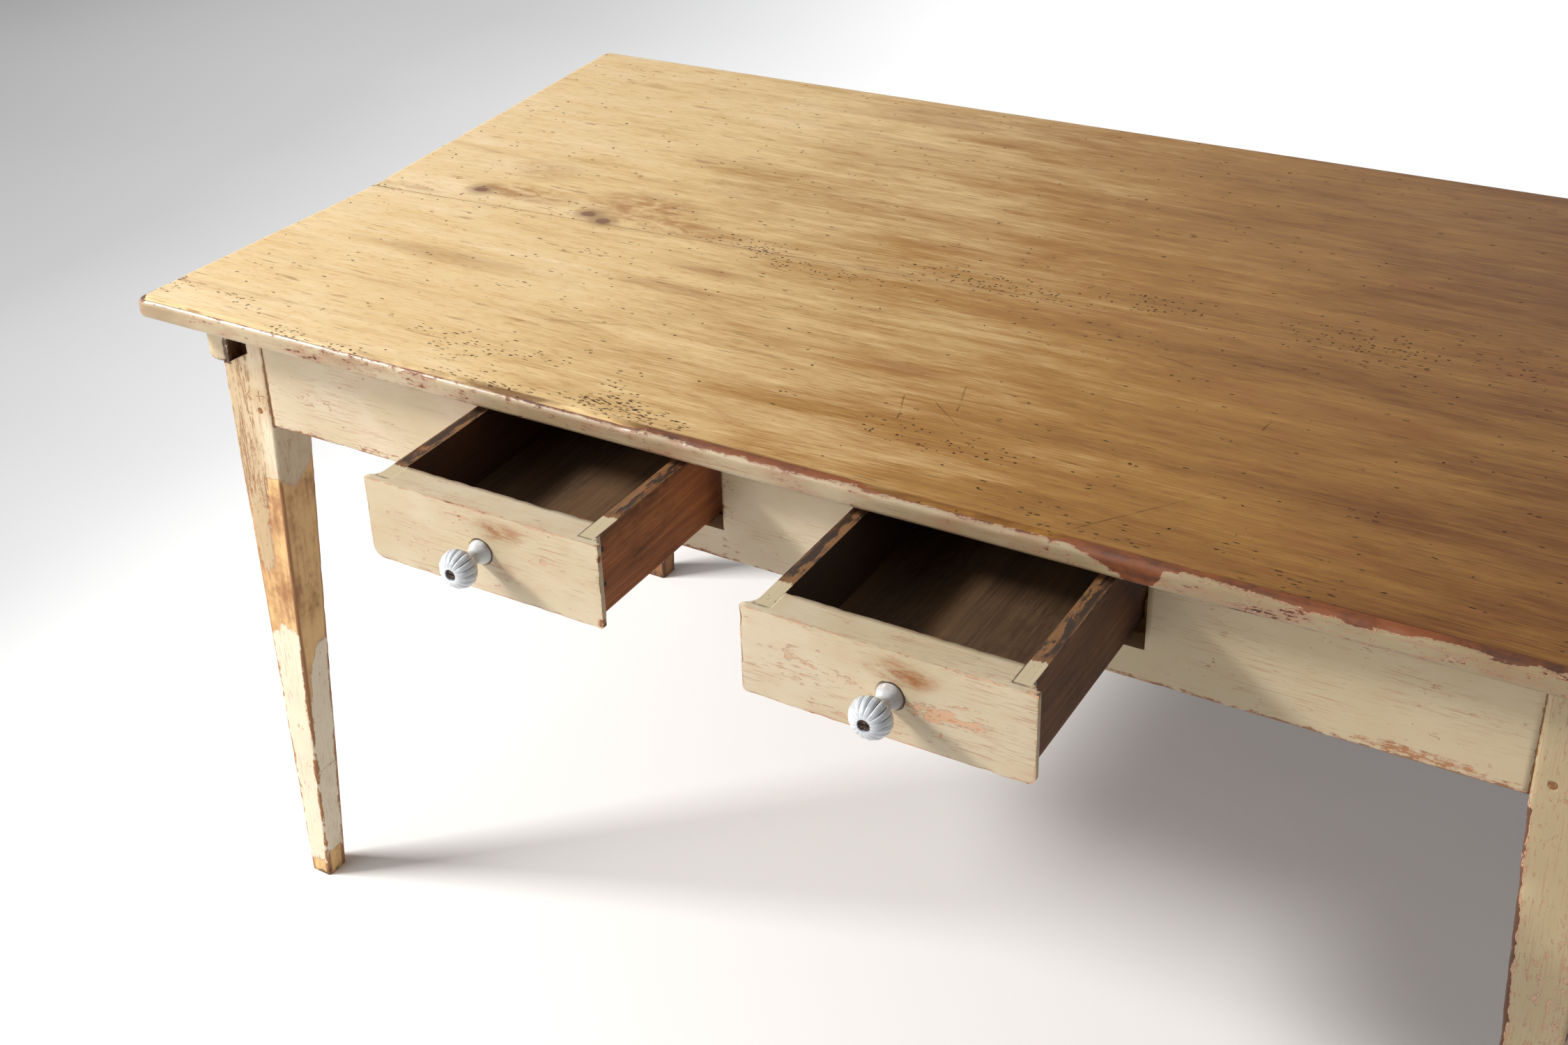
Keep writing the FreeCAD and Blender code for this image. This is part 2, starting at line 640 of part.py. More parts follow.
def knob(drawer):
    """Return the turned knob: flared foot, narrow waist and round head with a well for the screw's head."""
    bore = SCREW_RADIUS + SCREW_CLEARANCE
    well_floor = KNOB_LENGTH - SCREW_WELL_DEPTH
    inward, outward = Vector(-1, 0, 0), Vector(0, -1, 0)
    outline = [
        (KNOB_BASE_RADIUS, 0.0, outward),
        (KNOB_WAIST_RADIUS, KNOB_WAIST_REACH, outward),
        (KNOB_HEAD_RADIUS, KNOB_HEAD_REACH, outward),
        (KNOB_RIM_RADIUS, KNOB_LENGTH, inward),
    ]
    curve = Part.BSplineCurve()
    curve.interpolate(
        Points=[Vector(radius, -reach, 0) for radius, reach, _ in outline],
        Tangents=[tangent for _, _, tangent in outline],
        TangentFlags=[True] * len(outline),
    )
    inner = [
        (KNOB_RIM_RADIUS, KNOB_LENGTH),
        (SCREW_WELL_RADIUS, KNOB_LENGTH),
        (SCREW_WELL_RADIUS, well_floor),
        (bore, well_floor),
        (bore, 0.0),
        (KNOB_BASE_RADIUS, 0.0),
    ]
    points = [Vector(radius, -reach, 0) for radius, reach in inner]
    lines = [Part.makeLine(start, end) for start, end in zip(points, points[1:])]
    return turned([curve.toShape()] + lines, knob_axis(drawer))


def knob_screw(drawer):
    """Return the slotted machine screw that runs through the knob and the drawer front."""
    start = knob_axis(drawer)
    seat = start - Y_AXIS * (KNOB_LENGTH - SCREW_WELL_DEPTH)
    reach = KNOB_LENGTH - SCREW_WELL_DEPTH + DRAWER_FRONT_THICKNESS + WASHER_THICKNESS + NUT_THICKNESS
    shank = rod(SCREW_RADIUS, seat, Y_AXIS, reach + SCREW_TAIL)
    head = rod(SCREW_HEAD_RADIUS, seat, -Y_AXIS, SCREW_HEAD_HEIGHT)
    face = seat.y - SCREW_HEAD_HEIGHT
    slot = block(
        (seat.x - SCREW_HEAD_RADIUS, seat.x + SCREW_HEAD_RADIUS),
        (face, face + SCREW_SLOT_DEPTH),
        (seat.z - SCREW_SLOT_WIDTH / 2, seat.z + SCREW_SLOT_WIDTH / 2),
    )
    return shank.fuse(head).cut(slot).removeSplitter()


def knob_washer(drawer):
    """Return the round washer behind the drawer front."""
    start = knob_axis(drawer) + Y_AXIS * DRAWER_FRONT_THICKNESS
    disc = rod(WASHER_RADIUS, start, Y_AXIS, WASHER_THICKNESS)
    return disc.cut(rod(SCREW_RADIUS + SCREW_CLEARANCE, start, Y_AXIS, WASHER_THICKNESS))


def knob_nut(drawer):
    """Return the square nut behind the washer."""
    start = knob_axis(drawer) + Y_AXIS * (DRAWER_FRONT_THICKNESS + WASHER_THICKNESS)
    half = NUT_SIZE / 2
    body = block(
        (start.x - half, start.x + half), (start.y, start.y + NUT_THICKNESS), (start.z - half, start.z + half)
    )
    return body.cut(rod(SCREW_RADIUS + JOINT_CLEARANCE / 2, start, Y_AXIS, NUT_THICKNESS))


# --- Assembly ---


def table_pieces():
    """Return the pieces of the top and the base by node name."""
    front_left = front_left_leg()
    peg_front, peg_side = long_tenon_peg(0), side_tenon_peg(0)
    long_pegs = [peg_front, mirrored_in_x(peg_front)]
    side_pegs = [peg_side, mirrored_in_x(peg_side)]
    side_pegs += [mirrored_in_y(peg) for peg in side_pegs]
    left_pegs = Part.makeCompound(batten_pegs(0))
    pieces = {
        "top_front_board": top_board(TOP_FRONT),
        "top_back_board": top_board(TOP_BACK),
        "front_left_leg": front_left,
        "front_right_leg": mirrored_in_x(front_left),
        "back_left_leg": mirrored_in_y(front_left),
        "back_right_leg": mirrored_in_y(mirrored_in_x(front_left)),
        "front_apron": front_apron(),
        "back_apron": back_apron(),
        "left_apron": left_apron(),
        "right_apron": mirrored_in_x(left_apron()),
        "left_batten": left_batten(),
        "right_batten": mirrored_in_x(left_batten()),
        "left_batten_pegs": left_pegs,
        "right_batten_pegs": mirrored_in_x(left_pegs),
        "front_tenon_pegs": Part.makeCompound(long_pegs),
        "back_tenon_pegs": Part.makeCompound([mirrored_in_y(peg) for peg in long_pegs]),
        "side_tenon_pegs": Part.makeCompound(side_pegs),
    }
    nails = []
    for drawer in DRAWERS:
        for side, hand in ((-1, "left"), (1, "right")):
            pieces[f"{drawer.name}_{hand}_runner"] = runner(drawer, side)
            pieces[f"{drawer.name}_{hand}_guide"] = guide(drawer, side)
            pieces[f"{drawer.name}_{hand}_stop"] = stop(drawer, side)
            nails += guide_nails(drawer, side)
    pieces["runner_nails"] = Part.makeCompound(nails)
    return pieces


def drawer_pieces(drawer):
    """Return the pieces of one drawer by node name, where the drawer stands open."""
    parts = {
        "front": drawer_front(drawer),
        "left_side": drawer_side(-1),
        "right_side": drawer_side(1),
        "back": drawer_back(),
        "bottom": drawer_bottom(),
        "side_nails": Part.makeCompound(side_nails(-1) + side_nails(1)),
        "bottom_nails": Part.makeCompound(bottom_nails()),
        "knob": knob(drawer),
        "knob_screw": knob_screw(drawer),
        "knob_washer": knob_washer(drawer),
        "knob_nut": knob_nut(drawer),
    }
    return {f"{drawer.name}_{name}": placed(drawer, shape) for name, shape in parts.items()}


def main():
    """Write one STEP file per piece."""
    os.makedirs("parts", exist_ok=True)
    pieces = table_pieces()
    for drawer in DRAWERS:
        pieces.update(drawer_pieces(drawer))
    for name, shape in pieces.items():
        shape.exportStep(f"parts/{name}.step")


main()
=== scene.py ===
import json
import logging
import math
from collections.abc import Callable, Sequence
from dataclasses import dataclass
from enum import Enum

import bmesh
import bpy
from mathutils import Matrix, Vector, noise

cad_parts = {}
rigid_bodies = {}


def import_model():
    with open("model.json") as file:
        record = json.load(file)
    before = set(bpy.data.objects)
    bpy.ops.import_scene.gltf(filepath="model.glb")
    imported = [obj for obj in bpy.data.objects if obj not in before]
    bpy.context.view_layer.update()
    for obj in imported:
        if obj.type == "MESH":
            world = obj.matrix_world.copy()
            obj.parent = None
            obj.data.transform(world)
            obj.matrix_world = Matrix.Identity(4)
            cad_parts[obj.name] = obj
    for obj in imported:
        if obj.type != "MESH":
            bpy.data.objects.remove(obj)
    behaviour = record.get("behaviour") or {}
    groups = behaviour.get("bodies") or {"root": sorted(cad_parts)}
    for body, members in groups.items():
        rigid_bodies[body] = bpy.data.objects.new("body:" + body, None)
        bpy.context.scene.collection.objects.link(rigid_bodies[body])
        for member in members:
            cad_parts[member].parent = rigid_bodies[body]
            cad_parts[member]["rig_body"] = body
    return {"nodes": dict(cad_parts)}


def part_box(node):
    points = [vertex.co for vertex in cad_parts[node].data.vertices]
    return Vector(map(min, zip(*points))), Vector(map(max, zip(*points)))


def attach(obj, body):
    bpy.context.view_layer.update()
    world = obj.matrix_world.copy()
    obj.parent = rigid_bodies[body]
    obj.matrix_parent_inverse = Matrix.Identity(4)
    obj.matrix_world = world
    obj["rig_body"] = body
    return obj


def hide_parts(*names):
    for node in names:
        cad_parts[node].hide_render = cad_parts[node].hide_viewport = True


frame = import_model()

# A painted kitchen table with a bare, waxed top of two boards and two open drawers, dressed around its
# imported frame. Metres, X along the table, Y from front to back, Z up.

log = logging.getLogger("kitchen_table")

Colour = tuple[float, float, float, float]
Operand = "Field | float | Sequence[float]"
Point2 = tuple[float, float]

WELD = 1e-5
FLAT_ANGLE = math.radians(1.0)
SOFT_EDGE_ANGLE = math.radians(62.0)
STRAIGHT_TURN = 1e-6
FAR_FROM_EDGE = 0.03
MOST_BARE = 1.2
WEAR_LAYERS = ("bare", "edge", "crackle", "darkening")


class Axis(Enum):
    """The direction that the grain of a piece runs in."""

    X = 0
    Y = 1
    Z = 2


# --- Shader expressions ---


class Field:
    """A number, vector or colour that varies over a surface. Its operators add Math nodes."""

    def __init__(self, graph: "Graph", socket: bpy.types.NodeSocket) -> None:
        """Wrap an output socket of one of the graph's nodes."""
        self.graph = graph
        self.socket = socket

    def __add__(self, other: Operand) -> "Field":
        """Return the sum."""
        return self.graph.math("ADD", self, other)

    def __radd__(self, other: Operand) -> "Field":
        """Return the sum."""
        return self.graph.math("ADD", other, self)

    def __sub__(self, other: Operand) -> "Field":
        """Return the difference."""
        return self.graph.math("SUBTRACT", self, other)

    def __rsub__(self, other: Operand) -> "Field":
        """Return the difference."""
        return self.graph.math("SUBTRACT", other, self)

    def __mul__(self, other: Operand) -> "Field":
        """Return the product."""
        return self.graph.math("MULTIPLY", self, other)

    def __rmul__(self, other: Operand) -> "Field":
        """Return the product."""
        return self.graph.math("MULTIPLY", other, self)

    def __truediv__(self, other: Operand) -> "Field":
        """Return the quotient."""
        return self.graph.math("DIVIDE", self, other)

    def __rtruediv__(self, other: Operand) -> "Field":
        """Return the quotient."""
        return self.graph.math("DIVIDE", other, self)

    def __pow__(self, other: Operand) -> "Field":
        """Return the power."""
        return self.graph.math("POWER", self, other)

    def __abs__(self) -> "Field":
        """Return the absolute value."""
        return self.graph.math("ABSOLUTE", self)

    def under(self, other: Operand) -> "Field":
        """Return the smaller of the two."""
        return self.graph.math("MINIMUM", self, other)

    def over(self, other: Operand) -> "Field":
        """Return the larger of the two."""
        return self.graph.math("MAXIMUM", self, other)

    def band(self, low: float, high: float) -> "Field":
        """Return a smooth step from 0 at low to 1 at high, which may be the smaller of the two.

        Args:
            low: the value that gives 0.
            high: the value that gives 1.

        Returns:
            The step as a field.
        """
        settings = {"interpolation_type": "SMOOTHSTEP"}
        inputs = {"Value": self, "From Min": low, "From Max": high}
        return self.graph.field("ShaderNodeMapRange", settings, inputs, "Result")


class Graph:
    """One material's shader tree, written as expressions on fields."""

    def __init__(self, name: str) -> None:
        """Start an empty material of this name."""
        self.material = bpy.data.materials.new(name)
        self.material.use_nodes = True
        self.tree = self.material.node_tree
        self.tree.nodes.clear()
        self.position = self.field("ShaderNodeTexCoord", {}, {}, "Object")

    def node(self, kind: str, settings: dict, inputs: dict) -> bpy.types.Node:
        """Add a node.

        Args:
            kind: the node's type.
            settings: its properties, and "stops" for a colour ramp, set before anything is plugged in.
            inputs: a number, colour, vector or field for each named socket.

        Returns:
            The node.
        """
        node = self.tree.nodes.new(kind)
        for name, value in settings.items():
            if name == "stops":
                self._set_stops(node.color_ramp, value)
            else:
                setattr(node, name, value)
        for name, value in inputs.items():
            socket = self._pick(node.inputs, name)
            if isinstance(value, Field):
                self.tree.links.new(value.socket, socket)
            else:
                socket.default_value = value
        return node

    def field(self, kind: str, settings: dict, inputs: dict, output: str) -> Field:
        """Add a node and return one of its outputs.

        Args:
            kind: the node's type.
            settings: its properties.
            inputs: what its sockets take.
            output: the output socket's name.

        Returns:
            The output as a field.
        """
        return Field(self, self._pick(self.node(kind, settings, inputs).outputs, output))

    @staticmethod
    def _pick(sockets: bpy.types.bpy_prop_collection, name: str) -> bpy.types.NodeSocket:
        """Return the socket with this identifier, or else with this name."""
        by_identifier = [socket for socket in sockets if socket.identifier == name]
        return by_identifier[0] if by_identifier else sockets[name]

    @staticmethod
    def _set_stops(ramp: bpy.types.ColorRamp, stops: Sequence[tuple[float, Colour]]) -> None:
        """Give a colour ramp its stops, each a place and a colour."""
        for _ in stops[2:]:
            ramp.elements.new(1.0)
        for element, (place, colour) in zip(ramp.elements, stops):
            element.position = place
            element.color = colour

    def math(self, operation: str, *operands: Operand) -> Field:
        """Return the result of a Math node on one or two operands."""
        node = self.node("ShaderNodeMath", {"operation": operation}, {})
        for socket, value in zip(node.inputs, operands):
            if isinstance(value, Field):
                self.tree.links.new(value.socket, socket)
            else:
                socket.default_value = value
        return Field(self, node.outputs[0])

    def split(self, vector: Field) -> tuple[Field, Field, Field]:
        """Return a vector's X, Y and Z."""
        node = self.node("ShaderNodeSeparateXYZ", {}, {"Vector": vector})
        return tuple(Field(self, output) for output in node.outputs)

    def join(self, x: Operand, y: Operand, z: Operand = 0.0) -> Field:
        """Return a vector of three numbers."""
        return self.field("ShaderNodeCombineXYZ", {}, {"X": x, "Y": y, "Z": z}, "Vector")

    def stretch(self, vector: Field, scale: Sequence[float], offset: float = 0.0) -> Field:
        """Return a vector scaled along each axis and moved by an offset along all three."""
        inputs = {"Vector": vector, "Vector_001": scale, "Vector_002": (offset, offset, offset)}
        return self.field("ShaderNodeVectorMath", {"operation": "MULTIPLY_ADD"}, inputs, "Vector")

    def noise(self, vector: Field, detail: float = 2.0, roughness: float = 0.5, warp: float = 0.0) -> Field:
        """Return fractal noise from 0 to 1, about one lump to each unit of the vector."""
        inputs = {
            "Vector": vector, "Scale": 1.0, "Detail": detail, "Roughness": roughness, "Distortion": warp,
        }
        return self.field("ShaderNodeTexNoise", {}, inputs, "Fac")

    def cells(self, vector: Field) -> tuple[Field, Field]:
        """Return the distance to the middle of the nearest cell, and a random number for that cell."""
        inputs = {"Vector": vector, "Scale": 1.0}
        node = self.node("ShaderNodeTexVoronoi", {}, inputs)
        pick = self.node("ShaderNodeSeparateColor", {}, {"Color": Field(self, node.outputs["Color"])})
        return Field(self, node.outputs["Distance"]), Field(self, pick.outputs["Red"])

    def cracks(self, vector: Field) -> Field:
        """Return the distance to the nearest border between cells."""
        inputs = {"Vector": vector, "Scale": 1.0}
        return self.field("ShaderNodeTexVoronoi", {"feature": "DISTANCE_TO_EDGE"}, inputs, "Distance")

    def mix(self, share: Operand, low: "Field | Colour", high: "Field | Colour") -> Field:
        """Return a colour between two, low where the share is 0 and high where it is 1."""
        inputs = {"Factor_Float": share, "A_Color": low, "B_Color": high}
        return self.field("ShaderNodeMix", {"data_type": "RGBA"}, inputs, "Result_Color")

    def tint(self, colour: Field, factor: Operand, by: Colour) -> Field:
        """Return a colour multiplied by another, as far as the factor says."""
        settings = {"data_type": "RGBA", "blend_type": "MULTIPLY"}
        inputs = {"Factor_Float": factor, "A_Color": colour, "B_Color": by}
        return self.field("ShaderNodeMix", settings, inputs, "Result_Color")

    def ramp(self, value: Field, stops: Sequence[tuple[float, Colour]]) -> Field:
        """Return the colour that a ramp gives a value."""
        return self.field("ShaderNodeValToRGB", {"stops": stops}, {"Fac": value}, "Color")

    def attribute(self, name: str) -> Field:
        """Return a number that the mesh holds at its vertices."""
        settings = {"attribute_name": name, "attribute_type": "GEOMETRY"}
        return self.field("ShaderNodeAttribute", settings, {}, "Fac")

    def oval(self, a: Field, b: Field, middle: Point2, radii: Point2) -> Field:
        """Return a soft oval patch, 1 at its middle and 0 outside.

        Args:
            a: the first coordinate.
            b: the second coordinate.
            middle: the patch's middle.
            radii: its half sizes along the two coordinates.

        Returns:
            The patch's strength.
        """
        along = (a - middle[0]) / radii[0]
        across = (b - middle[1]) / radii[1]
        return (along * along + across * across).band(1.0, 0.0)

    def stroke(self, a: Field, b: Field, start: Point2, end: Point2, width: float) -> Field:
        """Return a thin straight mark.

        Args:
            a: the first coordinate.
            b: the second coordinate.
            start: one end of the mark.
            end: its other end.
            width: its width.

        Returns:
            1 in the middle of the mark, 0 outside it.
        """
        run, rise = end[0] - start[0], end[1] - start[1]
        from_a, from_b = a - start[0], b - start[1]
        place = (from_a * run + from_b * rise) / (run * run + rise * rise)
        place = place.over(0.0).under(1.0)
        off_a, off_b = from_a - place * run, from_b - place * rise
        return (off_a * off_a + off_b * off_b).band((width / 2) ** 2, (width / 8) ** 2)

    def bump(self, height: Field, distance: float) -> Field:
        """Return a normal roughened by a height from 0 to 1, which stands for this many metres."""
        inputs = {"Strength": 1.0, "Distance": distance, "Height": height}
        return self.field("ShaderNodeBump", {}, inputs, "Normal")

    def finish(
        self, colour: "Field | Colour", roughness: Operand, normal: Field | None, **fixed: float
    ) -> None:
        """Close the tree with a Principled shader.

        Args:
            colour: the base colour.
            roughness: the roughness.
            normal: the bumped normal, or None for a smooth surface.
            **fixed: any other socket of the shader, its name with _ for spaces.

        Returns:
            None.
        """
        inputs = {name.replace("_", " "): value for name, value in fixed.items()}
        inputs |= {"Base Color": colour, "Roughness": roughness}
        if normal is not None:
            inputs["Normal"] = normal
        shader = self.field("ShaderNodeBsdfPrincipled", {}, inputs, "BSDF")
        self.node("ShaderNodeOutputMaterial", {}, {"Surface": shader})

    def along_and_across(self, grain: Axis) -> tuple[Field, Field, Field]:
        """Return the coordinate along a grain and the two across it."""
        parts = list(self.split(self.position))
        along = parts.pop(grain.value)
        return along, parts[0], parts[1]


def srgb(red: int, green: int, blue: int) -> Colour:
    """Return a colour from its display values, 0 to 255."""
    low_end, slope, lift, power = 0.04045, 12.92, 0.055, 2.4
    parts = [part / 255 for part in (red, green, blue)]
    linear = [p / slope if p <= low_end else ((p + lift) / (1 + lift)) ** power for p in parts]
    return (*linear, 1.0)


# --- Finishes ---


@dataclass(frozen=True)
class Stain:
    """A soft mark on the top: its middle, its half sizes and how strongly it shows."""

    middle: Point2
    radii: Point2
    strength: float


@dataclass(frozen=True)
class DashKind:
    """One sort of short dash: its cells to a metre along and across the top, its slant and its chance."""

    along: float
    across: float
    slant: float
    chance: float


@dataclass(frozen=True)
class WaxedPine:
    """The bare, waxed boards of the top: honey pine with knots, stains, worm holes, dashes and scratches."""

    name: str
    seed: float
    joint_start: Point2
    joint_end: Point2
    front_edge: float
    pale: Colour = srgb(238, 214, 172)
    honey: Colour = srgb(223, 191, 136)
    tan: Colour = srgb(165, 120, 56)
    brown: Colour = srgb(110, 65, 18)
    knot_colour: Colour = srgb(112, 66, 46)
    halo_colour: Colour = srgb(166, 118, 64)
    stain_colour: Colour = srgb(138, 84, 40)
    grain_tint: Colour = srgb(206, 170, 122)
    mark_colour: Colour = srgb(34, 17, 8)
    edge_colour: Colour = srgb(84, 44, 18)
    edge_band: Point2 = (0.0125, 0.0085)
    edge_from: Point2 = (-0.66, -0.36)
    darker_right: Point2 = (-0.80, 0.80)
    darker_back: Point2 = (-0.20, 0.70)
    tone_from: float = 0.46
    tone_span: float = 0.60
    roughness: float = 0.34
    grain_depth: float = 0.0003
    knots: tuple[Point2, ...] = ((-0.5967, 0.0571), (-0.4437, 0.0504), (-0.4180, 0.0400))
    knot_radius: float = 0.0112
    joint_width: Point2 = (0.0012, 0.0003)
    joint_shade: float = 0.0075
    worm_line: float = 0.008
    worm_reach: float = 0.030
    dash_band: Point2 = (0.105, 0.015)
    dash_from: Point2 = (0.15, -0.20)
    dash_kinds: tuple[DashKind, ...] = (
        DashKind(120.0, 520.0, 0.0, 0.075), DashKind(150.0, 430.0, 0.16, 0.10),
        DashKind(95.0, 460.0, -0.12, 0.06),
    )
    halos: tuple[Stain, ...] = (
        Stain((-0.545, 0.070), (0.085, 0.028), 0.95),
        Stain((-0.560, 0.135), (0.060, 0.035), 0.55),
        Stain((-0.395, 0.090), (0.090, 0.050), 0.95),
        Stain((-0.325, 0.060), (0.100, 0.022), 0.80),
        Stain((-0.690, 0.030), (0.070, 0.010), 0.50),
    )
    stains: tuple[Stain, ...] = (
        Stain((-0.480, -0.110), (0.200, 0.020), 0.45),
        Stain((-0.268, -0.073), (0.090, 0.014), 0.60),
        Stain((-0.242, -0.022), (0.070, 0.010), 0.60),
        Stain((0.032, -0.128), (0.060, 0.016), 0.60),
        Stain((0.202, 0.198), (0.034, 0.005), 0.95),
        Stain((0.385, 0.247), (0.040, 0.018), 0.80),
        Stain((0.330, -0.039), (0.080, 0.022), 0.55),
        Stain((0.438, -0.040), (0.090, 0.028), 0.55),
        Stain((0.523, 0.100), (0.070, 0.014), 0.85),
        Stain((0.224, 0.062), (0.140, 0.010), 0.60),
        Stain((-0.161, 0.480), (0.220, 0.030), 0.35),
    )
    worm_runs: tuple[Stain, ...] = (
        Stain((-0.240, 0.055), (0.080, 0.026), 1.0),
        Stain((-0.150, 0.030), (0.110, 0.016), 0.8),
        Stain((0.030, 0.075), (0.120, 0.028), 0.75),
        Stain((0.175, 0.098), (0.075, 0.024), 1.0),
        Stain((0.375, 0.105), (0.090, 0.030), 1.0),
        Stain((0.120, -0.235), (0.110, 0.030), 0.6),
    )
    scratches: tuple[tuple[Point2, Point2, float], ...] = (
        ((0.050, -0.161), (0.069, -0.215), 0.0016),
        ((0.096, -0.135), (0.109, -0.180), 0.0014),
        ((0.359, -0.203), (0.269, -0.321), 0.0010),
        ((0.069, -0.160), (0.122, -0.205), 0.0009),
        ((0.353, -0.070), (0.351, -0.096), 0.0016),
        ((0.223, -0.002), (0.259, -0.010), 0.0018),
        ((-0.330, -0.190), (-0.250, -0.165), 0.0008),
    )

    def material(self) -> bpy.types.Material:
        """Return the finished material."""
        graph = Graph(self.name)
        x, y, _ = graph.split(graph.position)
        across = self._grain_across(graph, x, y)
        broad_place = graph.join(x * 2.0, across * 12.0, self.seed)
        broad = graph.noise(broad_place, detail=5.0, roughness=0.58, warp=0.3)
        rings = graph.noise(graph.join(x * 5.5, across * 95.0, self.seed), detail=4.0, roughness=0.62)
        fibre = graph.noise(graph.join(x * 24.0, across * 760.0, self.seed), detail=3.0, roughness=0.65)
        blotch = graph.noise(graph.join(x * 6.0, y * 20.0, self.seed), detail=4.0, roughness=0.6, warp=0.5)
        # Darker towards the right end and towards the back.
        right_and_back_darkening = x.band(*self.darker_right) * 0.9 + y.band(*self.darker_back) * 0.10
        tone = broad * 0.26 + rings * 0.24 + fibre * 0.32 + blotch * 0.28 + right_and_back_darkening * 0.51
        stops = ((0.0, self.pale), (0.30, self.honey), (0.62, self.tan), (1.0, self.brown))
        colour = graph.ramp((tone - self.tone_from) / self.tone_span, stops)
        speck_place = graph.join(x * 55.0, across * 230.0, self.seed + 4.0)
        specks = graph.noise(speck_place, detail=4.0, roughness=0.65)
        grain = fibre.band(0.50, 0.72) * 0.24 + specks.band(0.52, 0.68) * 0.34
        colour = graph.tint(colour, grain, self.grain_tint)
        colour = self._stained(graph, colour, x, y, blotch)
        by_edge = y.band(self.front_edge + self.edge_band[0], self.front_edge + self.edge_band[1])
        by_edge = by_edge * x.band(*self.edge_from) * blotch.band(0.30, 0.55) * 0.8
        colour = graph.mix(by_edge, colour, self.edge_colour)
        grit = (graph.noise(graph.stretch(graph.position, (420.0, 700.0, 420.0), self.seed)) - 0.5) * 0.7
        pits, dashes = self._worm_holes(graph, x, y, grit), self._dashes(graph, x, y, grit)
        marks = pits.over(dashes).over(self._scratch_marks(graph, x, y, blotch))
        marks = marks.over(self._joint_line(graph, x, y))
        colour = graph.mix(marks * 0.94, colour, self.mark_colour)
        height = fibre * 0.40 + rings * 0.15 - marks * 1.6
        shine = self.roughness + (blotch - 0.5) * 0.18 + marks * 0.40 + fibre * 0.08
        normal = graph.bump(height, self.grain_depth)
        graph.finish(colour, shine, normal, Specular_IOR_Level=0.16, Coat_Weight=0.04, Coat_Roughness=0.25)
        return graph.material

    def _grain_across(self, graph: Graph, x: Field, y: Field) -> Field:
        """Return the coordinate across the grain, swaying along the board and swelling round its knots."""
        sway = graph.noise(graph.join(x * 1.2, y * 2.2, self.seed), detail=1.0) - 0.5
        across = y + sway * 0.05
        for knot_x, knot_y in self.knots:
            off_x, off_y = x - knot_x, y - knot_y
            swell = (off_y * 0.0011) / (off_x * off_x * 0.16 + off_y * off_y + 0.00022)
            across = across - swell * 0.2
        return across

    def _stained(self, graph: Graph, colour: Field, x: Field, y: Field, blotch: Field) -> Field:
        """Return the colour with smudges, the knots' halos and the knots themselves."""
        streaks = graph.noise(graph.join(x * 2.6, y * 34.0, self.seed + 3.0), detail=3.0, roughness=0.55)
        smudges = graph.noise(graph.join(x * 2.0, y * 7.0, self.seed + 8.0), detail=2.0, warp=0.4)
        smears = streaks.band(0.52, 0.74) * smudges.band(0.42, 0.62) * 0.36
        colour = graph.mix(smears, colour, self.stain_colour)
        flecks = graph.noise(graph.join(x * 13.0, y * 95.0, self.seed + 9.0), detail=3.0, roughness=0.6)
        colour = graph.mix(flecks.band(0.62, 0.72) * 0.55, colour, self.stain_colour)
        ragged = blotch.band(0.30, 0.62)
        for stain in self.stains:
            patch = graph.oval(x, y, stain.middle, stain.radii)
            colour = graph.mix(patch * ragged * (stain.strength * 0.75), colour, self.stain_colour)
        curl = graph.noise(graph.join(x * 24.0, y * 60.0, self.seed), detail=3.0, warp=1.6)
        for halo in self.halos:
            patch = graph.oval(x, y, halo.middle, halo.radii)
            shade = patch * curl.band(0.24, 0.70) * halo.strength
            colour = graph.mix(shade, colour, self.halo_colour)
        for index, middle in enumerate(self.knots):
            off_x, off_y = x - middle[0], (y - middle[1]) * 1.25
            wobble = graph.noise(graph.join(x * 90.0, y * 90.0, index + self.seed), detail=1.0) - 0.5
            away = graph.math("SQRT", off_x * off_x + off_y * off_y) + wobble * 0.006
            rings = graph.math("SINE", away * 2600.0) * 0.5 + 0.5
            rim = away.band(self.knot_radius * 2.4, self.knot_radius * 0.9)
            core = away.band(self.knot_radius, self.knot_radius * 0.55)
            colour = graph.mix(rim * (0.35 + rings * 0.25), colour, self.brown)
            colour = graph.mix(core * (0.7 + rings * 0.25), colour, self.knot_colour)
        return colour

    def _joint_middle(self, x: Field) -> Field:
        """Return the Y of the glued joint at each X."""
        (x0, y0), (x1, y1) = self.joint_start, self.joint_end
        return (x - x0) * ((y1 - y0) / (x1 - x0)) + y0

    def _joint_line(self, graph: Graph, x: Field, y: Field) -> Field:
        """Return the dark line along the glued joint, broken here and there."""
        off = abs(y - self._joint_middle(x))
        broken = graph.noise(graph.join(x * 14.0, y * 20.0, self.seed), detail=3.0)
        line = off.band(*self.joint_width) * (0.10 + broken.band(0.42, 0.66) * 0.55)
        wide = off.band(self.joint_shade, 0.0) * broken.band(0.42, 0.70) * 0.22
        return line.over(wide)

    def _worm_holes(self, graph: Graph, x: Field, y: Field, grit: Field) -> Field:
        """Return the small round holes, dense in a few runs beside the joint, made ragged by the grit."""
        reach, chance = graph.cells(graph.join(x * 210.0, y * 330.0, self.seed))
        density: Operand = 0.004
        for run in self.worm_runs:
            density = graph.oval(x, y, run.middle, run.radii) * (0.40 * run.strength) + density
        near_joint = abs(y - self._joint_middle(x) - self.worm_line).band(self.worm_reach, 0.0)
        density = density + near_joint * 0.035
        few = graph.math("LESS_THAN", chance, density)
        large, rare = graph.cells(graph.join(x * 62.0, y * 75.0, self.seed + 5.0))
        dots = large.band(0.15, 0.07) * graph.math("LESS_THAN", rare, 0.014)
        return ((reach + grit).band(0.40, 0.22) * few).over(dots)

